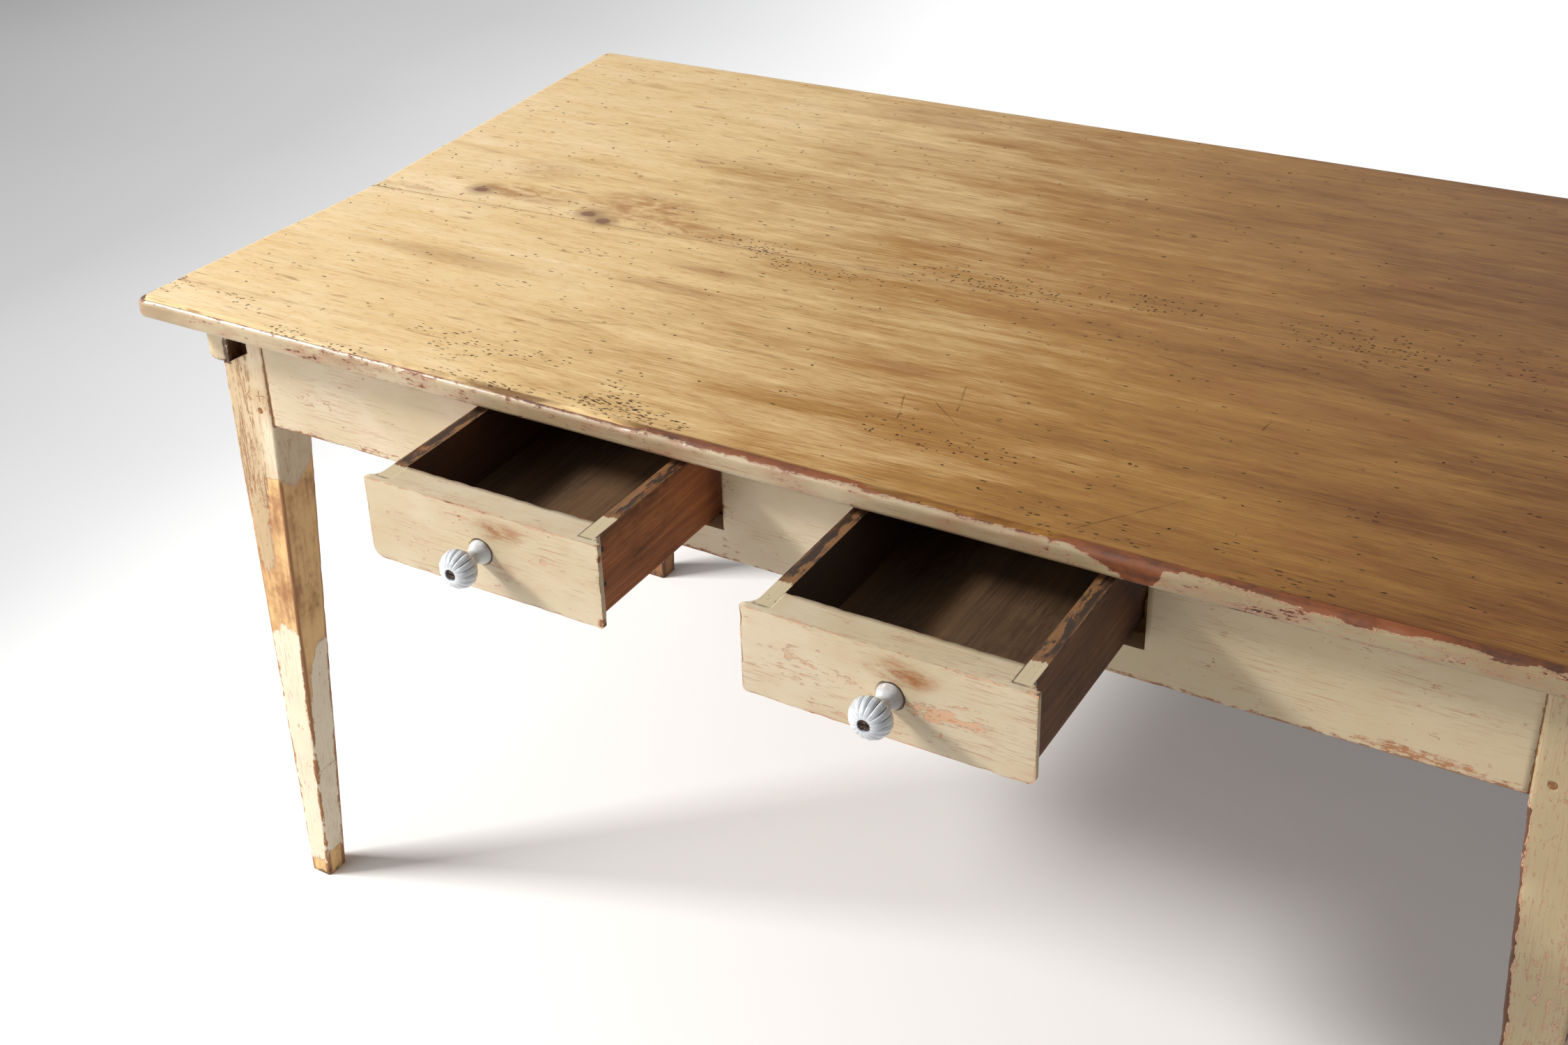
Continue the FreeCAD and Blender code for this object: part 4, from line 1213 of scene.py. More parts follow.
    @staticmethod
    def _inset(points: list[Vector], insets: list[float]) -> list[Vector]:
        """Return a closed outline moved inward, each edge by its own inset, with mitred corners."""
        count = len(points)
        normals = []
        for index, point in enumerate(points):
            run = (points[(index + 1) % count] - point).normalized()
            normals.append(Vector((-run.y, run.x)))
        moved = []
        for index, point in enumerate(points):
            before, after = normals[index - 1], normals[index]
            inset_before, inset_after = insets[index - 1], insets[index]
            cross = before.x * after.y - before.y * after.x
            if abs(cross) < STRAIGHT_TURN:
                moved.append(point + after * inset_after)
                continue
            shift_x = (inset_before * after.y - inset_after * before.y) / cross
            shift_y = (before.x * inset_after - after.x * inset_before) / cross
            moved.append(point + Vector((shift_x, shift_y)))
        return moved

    def arc(self, height: float, tilt: float) -> float:
        """Return how far down the nosing a point is, along its surface, from the edge of the flat top."""
        upper = self.upper_radius * (math.pi / 2 - max(tilt, 0.0))
        straight = max(0.0, self.high.z - self.upper_radius - max(height, self.low.z + self.lower_radius))
        return upper + straight + self.lower_radius * max(-tilt, 0.0)

    def nosing_wear(self, point: Vector, tilt: float) -> Wear:
        """Return the wear at a point of the nosing.

        Args:
            point: the point.
            tilt: how far the surface there turns up from upright.

        Returns:
            The wear.
        """
        down = self.arc(point.z, tilt)
        reach, flaky = self.reach(point.x, point.y), lookup(self.flaking, point.x)
        down -= self.upper_radius * (math.pi / 2) * self.laps(reach) / self.upper_steps
        reach *= 1.0 + 0.35 * rough(point, 42.0, 2.0)
        bare = 0.5 + (reach - down) / (2 * self.bare_softness)
        low_edge = step(down, *self.low_edge_band) * (0.22 + 0.16 * rough(point, 30.0, 9.0))
        bare = max(bare, flaky + 0.10 * rough(point, 26.0, 7.0) + low_edge)
        dent = max(0.0, rough(point, 38.0, 12.0) - 0.25) * self.dent_depth * step(tilt, 0.1, 0.8)
        lost = self.paint_film * step(bare, 0.4, 0.7)
        depth = self.hollow + self.hollow * rough(point, 12.0, 5.0) + dent + lost
        darkening = step(tilt, 1.30, 1.52) * 0.30 * step(reach, 0.0008, 0.003)
        return Wear(max(0.0, depth), min(bare, MOST_BARE), FAR_FROM_EDGE, 0.0, darkening)

    def build(
        self, face: bpy.types.Material, nosing: bpy.types.Material, under: bpy.types.Material
    ) -> bpy.types.Object:
        """Build the board.

        Args:
            face: the material of the flat top face.
            nosing: the material of the nosing.
            under: the material of the underside and the glued edge.

        Returns:
            The piece.
        """
        points, nosed = self.outline()
        rows = self.rings()
        mesh = bmesh.new()
        layers = {name: mesh.verts.layers.float.new(name) for name in WEAR_LAYERS}
        loops = []
        for number, (inset, height, tilt) in enumerate(rows):
            eased = self.joint_ease * step(height, self.high.z - self.joint_ease_height, self.high.z)
            eased += max(0.0, inset - self.upper_radius)
            moved = self._inset(points, [inset if has_nosing else eased for has_nosing in nosed])
            flat = self._inset(points, [self.inward_probe if has_nosing else 0.0 for has_nosing in nosed])
            loop = []
            for index, (outer, spot, inner) in enumerate(zip(points, moved, flat)):
                place = Vector((spot.x, spot.y, height))
                wear = self.nosing_wear(place, tilt)
                if nosed[index] and nosed[index - 1] and 0 < number < len(rows) - 2:
                    inward = (inner - outer).normalized() * math.cos(tilt)
                    place += Vector((inward.x, inward.y, -math.sin(tilt))) * wear.depth
                vertex = mesh.verts.new(place)
                for name, layer in layers.items():
                    vertex[layer] = getattr(wear, name)
                loop.append(vertex)
            loops.append(loop)
        count = len(points)
        for number, (lower, upper) in enumerate(zip(loops, loops[1:])):
            below_flat = len(rows) - 2 - number
            for index in range(count):
                after = (index + 1) % count
                side = mesh.faces.new((lower[index], lower[after], upper[after], upper[index]))
                laps = self.laps(self.reach(*points[index])) if nosed[index] else 0
                side.material_index = 0 if below_flat <= laps else 1 if nosed[index] else 2
        top = mesh.faces.new(loops[-1])
        top.material_index = 0
        bottom = mesh.faces.new(loops[0][::-1])
        bottom.material_index = 2
        piece = add_object(f"worn_{self.node}", mesh, "table")
        for material in (face, nosing, under):
            piece.data.materials.append(material)
        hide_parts(self.node)
        log.info("%s: %d faces", piece.name, len(piece.data.polygons))
        return piece


@dataclass
class TableTop:
    """The two boards of the top."""

    boards: tuple[tuple[str, bool], ...] = (("top_front_board", True), ("top_back_board", False))

    def build(self) -> list[bpy.types.Object]:
        """Build both boards and dress them."""
        pieces = []
        nosing_paint = CreamPaint(
            "nosing_paint", Axis.X, seed=4.0, paint=srgb(180, 163, 133), faded=srgb(158, 137, 106),
            mottling=2.0, blush=srgb(166, 128, 100), undercoat=srgb(184, 144, 112),
            wood_light=srgb(122, 66, 30), wood_dark=srgb(46, 27, 17), line_colour=srgb(150, 108, 88),
            crack_colour=srgb(78, 50, 38), flecks=1.5, roughness=0.28, olive=srgb(130, 113, 78),
        ).material()
        under = AgedPine(
            "top_underside", Axis.X, srgb(176, 138, 92), srgb(150, 112, 72), srgb(112, 80, 50), darkening=0.3
        ).material()
        for number, (node, outer_at_low_y) in enumerate(self.boards):
            board = TopBoard(node, outer_at_low_y)
            face = WaxedPine(
                f"waxed_pine_{number}", 11.0 + 7.0 * number,
                tuple(board.joint_left), tuple(board.joint_right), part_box("top_front_board")[0].y,
            ).material()
            pieces.append(board.build(face, nosing_paint, under))
        return pieces


# --- Base ---


class WornZone(Enum):
    """How much of a leg's paint is gone."""

    RUBBED_BARE = "rubbed bare over its middle"
    ARRISES = "gone along the arrises and at the foot"


@dataclass
class Leg:
    """One leg, and where its paint is gone. Its own coordinates count inward from its two outer faces."""

    node: str
    seed: float
    zone: WornZone = WornZone.ARRISES
    inner_arris: float = 0.0
    crackled: float = 0.3
    flaking: float = 0.22
    relief_from: float = 0.013
    relief_foot: float = 0.688
    pitch: tuple[float, float, float] = (0.0055, 0.0055, 0.006)
    square_from: float = 0.624
    head_width: float = 0.059
    foot_width: float = 0.028
    softness: float = 0.009
    skin: float = 0.0012
    recess_from: float = 0.05
    recess_width: float = 0.045
    sound_arris: float = 0.0035
    sound_band: Point2 = (0.545, 0.57)
    low_arris: float = 0.0016
    low_band: Point2 = (0.36, 0.30)
    bare_foot_front: float = 0.020
    bare_foot_side: float = 0.034
    dirty_foot: float = 0.030
    chip_reach: float = 0.007
    chip_depth: float = 0.0012
    paint_film: float = 0.0003
    hollow: float = 0.0001
    outer_top: float = 0.520
    outer_bottom: float = 0.380
    tongue_left: tuple[Point2, ...] = (
        (0.430, 0.014), (0.440, 0.008), (0.470, 0.0045), (0.520, 0.005), (0.545, -0.004),
    )
    tongue_right: tuple[Point2, ...] = (
        (0.430, 0.014), (0.440, 0.022), (0.470, 0.0285), (0.489, 0.027), (0.525, 0.031), (0.556, 0.036),
        (0.563, 0.070),
    )
    face_bottom: tuple[Point2, ...] = ((0.0, 0.345), (0.009, 0.349), (0.0205, 0.364), (0.046, 0.352))
    side_top: tuple[Point2, ...] = (
        (0.0, 0.556), (0.006, 0.553), (0.0226, 0.539), (0.051, 0.562), (0.058, 0.578),
    )
    side_bottom: tuple[Point2, ...] = (
        (0.0, 0.174), (0.003, 0.200), (0.006, 0.270), (0.010, 0.293), (0.020, 0.320), (0.034, 0.333),
        (0.046, 0.320),
    )
    crackle_by_height: tuple[Point2, ...] = (
        (0.500, 0.10), (0.535, 0.95), (0.595, 0.90), (0.640, 0.62), (0.700, 0.56), (0.735, 0.30),
    )

    def __post_init__(self) -> None:
        """Read the leg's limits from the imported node."""
        self.low, self.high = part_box(self.node)
        self.is_left = self.low.x < 0
        self.is_front = self.low.y < 0

    def local(self, point: Vector) -> tuple[float, float, float]:
        """Return the distances from the outer side face and outer long face, and the leg's width there."""
        from_side = point.x - self.low.x if self.is_left else self.high.x - point.x
        from_face = point.y - self.low.y if self.is_front else self.high.y - point.y
        share = min(point.z / self.square_from, 1.0)
        return from_side, from_face, self.foot_width + (self.head_width - self.foot_width) * share

    def wear(self, point: Vector) -> Wear:
        """Return the wear at a point."""
        across, deep, width = self.local(point)
        to_faces = sorted((abs(across), abs(deep), abs(width - across), abs(width - deep)))
        on_skin = to_faces[0] < self.skin
        above_recess_foot = point.z > self.square_from + self.recess_from
        # Inside the recess at the head: bare wood under full darkening, which is painted shade.
        if not on_skin and above_recess_foot and across < self.recess_width:
            return Wear(0.0, 1.0, 0.0, 0.0, 1.0)
        edge = to_faces[1]
        on_front = deep < self.skin
        near_inner = (width - across) < 0.5 * width if on_front else deep < 0.5 * width
        below_rail = step(point.z, self.square_from + 0.01, self.square_from - 0.02)
        if near_inner and across > self.skin:
            edge -= self.inner_arris * below_rail
            sound_share = 1.0 if self.inner_arris == 0.0 else 0.4
            edge += self.sound_arris * step(point.z, *self.sound_band) * sound_share
        rubbed_bare = self.zone is WornZone.RUBBED_BARE
        if rubbed_bare:
            edge -= self.low_arris * step(point.z, *self.low_band)
        bare = self._rubbed(across, deep, point.z) if rubbed_bare else 0.0
        bare = max(bare, self.flaking)
        foot = self.bare_foot_front if on_front else self.bare_foot_side
        bare = max(bare, 0.5 + (foot - point.z) / (2 * self.softness))
        chip = step(edge, self.chip_reach, 0.0) * max(0.0, rough(point, 60.0, self.seed + 2) + 0.1)
        depth = self.hollow + self.chip_depth * chip + self.paint_film * step(bare, 0.4, 0.6)
        depth += self.hollow * rough(point, 16.0, self.seed)
        side_share = step(across, 0.046, 0.030) if on_front else 0.25
        crackle = self.crackled * lookup(self.crackle_by_height, point.z) * side_share + 0.05
        darkening = 0.40 * step(point.z, self.dirty_foot, 0.0)
        # Beside the relief on the rubbed leg's front, full darkening paints the cavity's shade.
        in_shaded_relief = on_front and across < self.relief_from and point.z > self.relief_foot
        if rubbed_bare and in_shaded_relief:
            darkening = 1.0
        return Wear(max(0.0, depth) if on_skin else 0.0, min(bare, MOST_BARE), edge, crackle, darkening)

    def _rubbed(self, across: float, deep: float, height: float) -> float:
        """Return how bare the middle of the leg is, where hands and knees have rubbed it.

        Args:
            across: the distance from the outer side face.
            deep: the distance from the outer long face.
            height: the height above the floor.

        Returns:
            0.5 at the edge of the paint, more where it is gone.
        """
        if deep < self.skin:
            from_left = across - lookup(self.tongue_left, height)
            from_right = lookup(self.tongue_right, height) - across
            tongue = min(from_left, from_right, height - self.tongue_left[0][0])
            inside = min(-tongue, height - lookup(self.face_bottom, across))
        elif across > self.skin:
            inside = min(lookup(self.side_top, deep) - height, height - lookup(self.side_bottom, deep))
        else:
            inside = min(self.outer_top + deep * 0.4 - height, height - self.outer_bottom + deep * 0.5)
        return 0.5 + inside / (2 * self.softness)

    def build(self, finish: bpy.types.Material) -> bpy.types.Object:
        """Build the worn leg."""
        return worn_copy(self.node, self.pitch, self.wear, finish)


@dataclass
class Rail:
    """An apron or a batten: long and straight, worn along its lower edge and beside its openings."""

    node: str
    seed: float
    slot: str = "cream_paint"
    pitch: tuple[float, float, float] = (0.006, 0.006, 0.006)
    worn_strips: tuple[tuple[float, float], ...] = ()
    shaded_face_x: float | None = None
    flaking: float = 0.21
    ease: float = 0.0014
    strip_bare: float = 0.36
    strip_softness: float = 0.014
    strip_grime: float = 0.24
    chip_reach: float = 0.006
    chip_depth: float = 0.0009
    chipped_below: float = 0.02

    def __post_init__(self) -> None:
        """Read the rail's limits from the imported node."""
        self.low, self.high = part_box(self.node)
        self.runs_along = 0 if self.high.x - self.low.x > self.high.y - self.low.y else 1

    def wear(self, point: Vector) -> Wear:
        """Return the wear at a point."""
        above = point.z - self.low.z
        place = point[self.runs_along]
        bare = self.flaking + 0.06 * rough(point, 14.0, self.seed)
        darkening = 0.0
        for middle, half_width in self.worn_strips:
            off = abs(place - middle)
            bare = max(bare, min(self.strip_bare, 0.5 + (half_width - off) / self.strip_softness))
            darkening = max(darkening, self.strip_grime * step(off, half_width + 0.004, half_width - 0.002))
        # Painted shade: the face at this X is fully darkened.
        if self.shaded_face_x is not None and abs(point.x - self.shaded_face_x) < WELD:
            darkening = 1.0
        chip = step(above, self.chip_reach, 0.0) * max(0.0, rough(point, 55.0, self.seed + 2))
        depth = self.chip_depth * chip if above < self.chipped_below else 0.0
        return Wear(depth, bare, above, 0.15, darkening)

    def is_lower_edge(self, edge: bmesh.types.BMEdge) -> bool:
        """Say whether an edge is one of the long lower ones."""
        first, second = (vertex.co for vertex in edge.verts)
        at_bottom = max(first.z, second.z) < self.low.z + WELD
        return at_bottom and abs(first[self.runs_along] - second[self.runs_along]) > 0.1

    def build(self, finish: bpy.types.Material) -> bpy.types.Object:
        """Build the worn rail."""
        return worn_copy(
            self.node, self.pitch, self.wear, finish, self.is_lower_edge, self.ease
        )


@dataclass
class Base:
    """The legs, aprons and battens."""

    leg_cracks: tuple[tuple[Point2, Point2, float], ...] = (
        ((-0.6645, 0.689), (-0.6622, 0.655), 0.0022),
        ((-0.6622, 0.655), (-0.6600, 0.636), 0.0026),
        ((-0.6600, 0.636), (-0.6540, 0.632), 0.0018),
        ((-0.6530, 0.661), (-0.6560, 0.656), 0.0018),
        ((-0.6560, 0.656), (-0.6510, 0.651), 0.0020),
        ((-0.6400, 0.663), (-0.6395, 0.651), 0.0018),
        ((-0.6430, 0.657), (-0.6310, 0.658), 0.0016),
        ((-0.6494, 0.1560), (-0.6491, 0.1564), 0.0012),
    )
    apron_spots: tuple[Spot, ...] = (
        Spot((0.540, 0.630), (0.100, 0.009), 0.55), Spot((0.260, 0.626), (0.120, 0.005), 0.56),
        Spot((-0.480, 0.629), (0.090, 0.006), 0.50), Spot((-0.560, 0.668), (0.055, 0.020), 0.36),
    )
    joint_lines: tuple[tuple[Point2, Point2, float], ...] = (
        ((-0.6258, 0.624), (-0.6262, 0.690), 0.0040),
        ((-0.6262, 0.690), (-0.6258, 0.747), 0.0024),
        ((0.6258, 0.624), (0.6262, 0.747), 0.0016),
    )

    def build(self) -> list[bpy.types.Object]:
        """Build and dress every piece of the base."""
        upright = CreamPaint(
            "leg_paint", Axis.Z, seed=2.0, paint=srgb(222, 206, 178), faded=srgb(188, 162, 122),
            wood_light=srgb(228, 188, 130), wood_dark=srgb(160, 112, 72), low_paint=srgb(237, 227, 202),
            strokes=self.leg_cracks + self.joint_lines,
        ).material()
        olive = CreamPaint(
            "leg_paint_olive", Axis.Z, seed=6.0, paint=srgb(192, 174, 138), faded=srgb(172, 151, 114),
            wood_from=0.60, undercoat=srgb(188, 142, 110), wood_dark=srgb(92, 60, 40),
            wood_light=srgb(150, 104, 66), strokes=self.joint_lines,
        ).material()
        long_paint = CreamPaint(
            "apron_paint", Axis.X, seed=1.0, undercoat=srgb(196, 154, 122), wood_light=srgb(166, 118, 78),
            strokes=self.joint_lines, spots=self.apron_spots,
        ).material()
        side_paint = CreamPaint("side_apron_paint", Axis.Y, seed=3.0).material()
        return [
            Leg("front_left_leg", 1.0, WornZone.RUBBED_BARE, crackled=1.0).build(upright),
            Leg("front_right_leg", 2.0, inner_arris=0.003, crackled=0.3, flaking=0.35).build(olive),
            Leg("back_left_leg", 3.0, inner_arris=0.002, flaking=0.28).build(olive),
            Leg("back_right_leg", 4.0, inner_arris=0.003, flaking=0.30).build(olive),
            Rail("front_apron", 1.0, worn_strips=((-0.068, 0.002),)).build(long_paint),
            Rail("back_apron", 5.0).build(long_paint),
            Rail("left_apron", 6.0).build(side_paint),
            Rail("right_apron", 7.0).build(side_paint),
            Rail("left_batten", 8.0, shaded_face_x=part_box("left_batten")[1].x).build(side_paint),
            Rail("right_batten", 9.0).build(side_paint),
        ]


# --- Drawers ---


@dataclass
class DrawerFront:
    """A painted drawer front, chipped along its arrises."""

    node: str
    seed: float
    pitch: tuple[float, float, float] = (0.005, 0.005, 0.005)
    ease: float = 0.0016
    flaking: float = 0.20
    chip_reach: float = 0.004
    chip_depth: float = 0.0014
    hollow: float = 0.00008
    worn_back: float = 0.012
    top_skin: float = 0.001
    top_grime: float = 0.16

    def __post_init__(self) -> None:
        """Read the front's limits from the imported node."""
        self.low, self.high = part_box(self.node)
        self.middle = (self.low.x + self.high.x) / 2

    def is_face_edge(self, edge: bmesh.types.BMEdge) -> bool:
        """Say whether an edge runs round the front face."""
        return all(vertex.co.y < self.low.y + WELD for vertex in edge.verts)

    def wear(self, point: Vector) -> Wear:
        """Return the wear at a point."""
        from_face = point.y - self.low.y
        to_faces = sorted((
            from_face, self.high.y - point.y, point.x - self.low.x, self.high.x - point.x,
            point.z - self.low.z, self.high.z - point.z,
        ))
        edge = to_faces[1]
        bare = self.flaking + 0.06 * rough(point, 16.0, self.seed)
        chip = step(edge, self.chip_reach, 0.0) * max(0.0, rough(point, 85.0, self.seed + 6) + 0.05)
        on_top = self.high.z - point.z < self.top_skin
        outside = from_face < self.worn_back or on_top
        depth = self.chip_depth * chip + self.hollow if outside else 0.0
        return Wear(depth, bare, edge, 0.05, self.top_grime if on_top else 0.0)

    def build(self, finish: bpy.types.Material) -> bpy.types.Object:
        """Build the worn front."""
        return worn_copy(
            self.node, self.pitch, self.wear, finish, self.is_face_edge, self.ease
        )


@dataclass
class Knob:
    """A glazed knob: flared foot, narrow waist and a head of sixteen lobes, with a well for the screw."""

    node: str
    lobes: int = 16
    steps_per_lobe: int = 12
    groove_depth: float = 0.0020
    groove_sharpness: float = 2.4
    groove_rise: Point2 = (0.016, 0.025)
    groove_fall: Point2 = (0.037, 0.043)
    groove_loss: float = 0.55
    stained_to: float = 0.012
    foot_radius: float = 0.0115
    waist_radius: float = 0.0072
    waist_reach: float = 0.012
    head_radius: float = 0.018
    head_reach: float = 0.030
    rim_radius: float = 0.0068
    length: float = 0.043
    well_radius: float = 0.0055
    well_depth: float = 0.0045
    bore_radius: float = 0.0023
    rows_per_span: int = 14

    def profile(self) -> list[Point2]:
        """Return the outer profile from foot to rim, each point a radius and a reach from the drawer."""
        points = []
        for index in range(self.rows_per_span):
            share = index / self.rows_per_span
            blend = step(share, 0.0, 1.0)
            radius = self.foot_radius + (self.waist_radius - self.foot_radius) * blend
            points.append((radius, self.waist_reach * share))
        for index in range(self.rows_per_span):
            share = index / self.rows_per_span
            blend = step(share, 0.0, 1.0)
            radius = self.waist_radius + (self.head_radius - self.waist_radius) * blend
            points.append((radius, self.waist_reach + (self.head_reach - self.waist_reach) * share))
        for index in range(self.rows_per_span + 1):
            angle = math.pi / 2 * index / self.rows_per_span
            radius = self.rim_radius + (self.head_radius - self.rim_radius) * math.cos(angle)
            points.append((radius, self.head_reach + (self.length - self.head_reach) * math.sin(angle)))
        return points

    def fluting(self, radius: float, reach: float) -> float:
        """Return how deep the grooves are at a point of the profile, as a share of their full depth."""
        if radius <= self.well_radius:
            return 0.0
        return step(reach, *self.groove_rise) * (1 - self.groove_loss * step(reach, *self.groove_fall))

    def build(self, finish: bpy.types.Material) -> bpy.types.Object:
        """Build the fluted knob."""
        low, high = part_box(self.node)
        axis_x, axis_z = (low.x + high.x) / 2, (low.z + high.z) / 2
        floor = self.length - self.well_depth
        well = [(self.well_radius, self.length), (self.well_radius, floor)]
        bore = [(self.bore_radius, floor), (self.bore_radius, 0.0)]
        profile = self.profile() + well + bore
        around = self.lobes * self.steps_per_lobe
        mesh = bmesh.new()
        groove_layer, stain_layer = (mesh.verts.layers.float.new(name) for name in ("groove", "stain"))
        rings = []
        for radius, reach in profile:
            fluted = self.fluting(radius, reach)
            ring = []
            for index in range(around):
                angle = 2 * math.pi * index / around
                groove = (1 - abs(math.sin(self.lobes * angle / 2))) ** self.groove_sharpness * fluted
                shrunk = radius - self.groove_depth * groove
                off_x, off_z = shrunk * math.cos(angle), shrunk * math.sin(angle)
                vertex = mesh.verts.new((axis_x + off_x, high.y - reach, axis_z + off_z))
                vertex[groove_layer] = groove
                vertex[stain_layer] = step(reach, self.stained_to, 0.0)
                ring.append(vertex)
            rings.append(ring)
        for lower, upper in zip(rings, rings[1:] + rings[:1]):
            for index in range(around):
                after = (index + 1) % around
                mesh.faces.new((lower[index], lower[after], upper[after], upper[index]))
        bmesh.ops.recalc_face_normals(mesh, faces=mesh.faces)
        body = frame["nodes"][self.node]["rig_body"]
        piece = add_object(f"fluted_{self.node}", mesh, body)
        piece.data.materials.append(finish)
        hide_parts(self.node)
        log.info("%s: %d faces", piece.name, len(piece.data.polygons))
        return piece


@dataclass
class Drawer:
    """One drawer: its worn front and knob, and the finishes of its other pieces."""

    name: str
    seed: float
    spots: tuple[Spot, ...]
    smudges: tuple[Spot, ...]
    hairlines: float
    side_colours: tuple[Colour, Colour, Colour]
    tip_ends: tuple[float, float]

    @staticmethod
    def _placed(spots: Sequence[Spot], middle: float) -> tuple[Spot, ...]:
        """Return spots that are given from the front's middle as spots in the table's own frame."""
        return tuple(
            Spot((spot.middle[0] + middle, spot.middle[1]), spot.radii, spot.strength) for spot in spots
        )

    def dress(self, part: str, finish: bpy.types.Material) -> None:
        """Give a CAD node of the drawer its finish."""
        dress_node(f"{self.name}_{part}", finish)

    def build(
        self, porcelain: bpy.types.Material, iron: bpy.types.Material, nail_iron: bpy.types.Material
    ) -> None:
        """Build the drawer.

        Args:
            porcelain: the knob's material.
            iron: the screw's, washer's and nut's material.
            nail_iron: the nails' material.

        Returns:
            None.
        """
        front = DrawerFront(f"{self.name}_front", self.seed)
        knob_low, knob_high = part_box(f"{self.name}_knob")
        knob_axis = ((knob_low.x + knob_high.x) / 2, (knob_low.z + knob_high.z) / 2)
        paint = CreamPaint(
            f"{self.name}_paint", Axis.X, seed=self.seed, hairlines=self.hairlines, edge_reach=0.0008,
            edge_softness=0.0032, undercoat=srgb(202, 158, 122), wood_light=srgb(196, 144, 100),
            wood_dark=srgb(126, 86, 58), wood_from=0.72,
            spots=self._placed(self.spots, front.middle), smudges=self._placed(self.smudges, front.middle),
            ring=(knob_axis, Knob.foot_radius),
        )
        front.build(paint.material())
        Knob(f"{self.name}_knob").build(porcelain)
        left_low, left_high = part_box(f"{self.name}_left_side")
        right_low, right_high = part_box(f"{self.name}_right_side")
        # The span between the sides' inner faces gets painted shade.
        inside = (left_high.x, right_low.x)
        for number, hand in enumerate(("left", "right")):
            wood = AgedPine(
                f"{self.name}_{hand}_side_wood", Axis.Y, *self.side_colours, seed=self.seed + number,
                streak_width=0.030, top_level=left_high.z, tip_end=self.tip_ends[number],
                inner_edge=(inside[number], (left_low.x, right_high.x)[number]), inside=inside, darkening=0.4,
                inside_shade_share=0.82,
            )
            self.dress(f"{hand}_side", wood.material())
        # The bottom's colours are darker than the wood's own: painted shade inside the drawer.
        bottom = AgedPine(
            f"{self.name}_shade_darkened_bottom_wood", Axis.Y, srgb(112, 84, 58), srgb(94, 70, 48), srgb(72, 52, 36),
            seed=self.seed, streak_width=0.04, darkening=0.5,
        )
        self.dress("bottom", bottom.material())
        back = AgedPine(
            f"{self.name}_back_wood", Axis.X, srgb(120, 86, 54), srgb(92, 64, 40), srgb(66, 46, 30),
            seed=self.seed, darkening=0.5,
        )
        self.dress("back", back.material())
        for part in ("knob_screw", "knob_washer", "knob_nut"):
            self.dress(part, iron)
        for part in ("side_nails", "bottom_nails"):
            self.dress(part, nail_iron)
        log.info("%s built", self.name)


def dress_node(node: str, finish: bpy.types.Material) -> None:
    """Put one finish on all of a CAD node."""
    data = frame["nodes"][node].data
    data.materials.clear()
    data.materials.append(finish)


@dataclass
class Drawers:
    """Both drawers."""

    def build(self) -> None:
        """Build and dress both drawers."""
        porcelain = GlazedPorcelain("glazed_porcelain").material()
        iron = OldIron("knob_steel").material()
        nail_iron = OldIron(
            "nail_iron", steel=srgb(58, 48, 42), rust=srgb(38, 24, 18), metallic=0.4
        ).material()
        left = Drawer(
            "left_drawer", 21.0,
            (
                Spot((0.0185, 0.7225), (0.012, 0.005), 0.44), Spot((0.067, 0.705), (0.006, 0.005), 0.52),
                Spot((0.1245, 0.660), (0.007, 0.009), 0.85), Spot((-0.022, 0.726), (0.030, 0.0022), 0.62),
                Spot((0.1265, 0.724), (0.004, 0.006), 1.00),
            ),
            (Spot((0.022, 0.722), (0.036, 0.014), 0.8), Spot((0.020, 0.684), (0.020, 0.012), 0.35)),
            1.05, (srgb(178, 112, 62), srgb(146, 86, 46), srgb(98, 58, 35)), (-0.441, -0.428),
        )
        right = Drawer(
            "right_drawer", 34.0,
            (
                Spot((0.0150, 0.7178), (0.026, 0.006), 0.44), Spot((0.0470, 0.6915), (0.062, 0.0125), 0.60),
                Spot((0.0488, 0.6744), (0.0016, 0.004), 1.0), Spot((-0.060, 0.700), (0.075, 0.026), 0.37),
                Spot((-0.020, 0.666), (0.090, 0.008), 0.42), Spot((0.121, 0.7370), (0.010, 0.0016), 0.6),
                Spot((0.070, 0.7060), (0.030, 0.004), 0.44),
            ),
            (Spot((0.0154, 0.7190), (0.038, 0.015), 1.0), Spot((0.000, 0.676), (0.024, 0.014), 0.40)),
            1.7, (srgb(120, 80, 50), srgb(92, 60, 38), srgb(60, 40, 28)), (-0.446, -0.450),
        )
        for drawer in (left, right):
            drawer.build(porcelain, iron, nail_iron)


@dataclass
class Woodwork:
    """The plain wooden pieces inside the base, and the pegs."""

    runner_parts: tuple[str, ...] = ("runner", "guide", "stop")
    pegs: tuple[str, ...] = (
        "front_tenon_pegs", "back_tenon_pegs", "side_tenon_pegs", "left_batten_pegs", "right_batten_pegs",
    )

    def dress(self) -> None:
        """Give every runner, guide, stop and peg its finish."""
        raw = AgedPine(
            "raw_softwood", Axis.Y, srgb(176, 138, 92), srgb(142, 104, 66), srgb(104, 74, 46), darkening=0.35
        ).material()
        for drawer in ("left_drawer", "right_drawer"):
            for hand in ("left", "right"):
                for part in self.runner_parts:
                    dress_node(f"{drawer}_{hand}_{part}", raw)
        peg = AgedPine(
            "peg_wood", Axis.Y, srgb(168, 122, 76), srgb(134, 92, 56), srgb(98, 66, 40), streak_width=0.004
        ).material()
        for node in self.pegs:
            dress_node(node, peg)
        dress_node("runner_nails", OldIron("runner_nail_iron", metallic=0.4).material())
        log.info("woodwork and pegs dressed")


# --- Studio ---


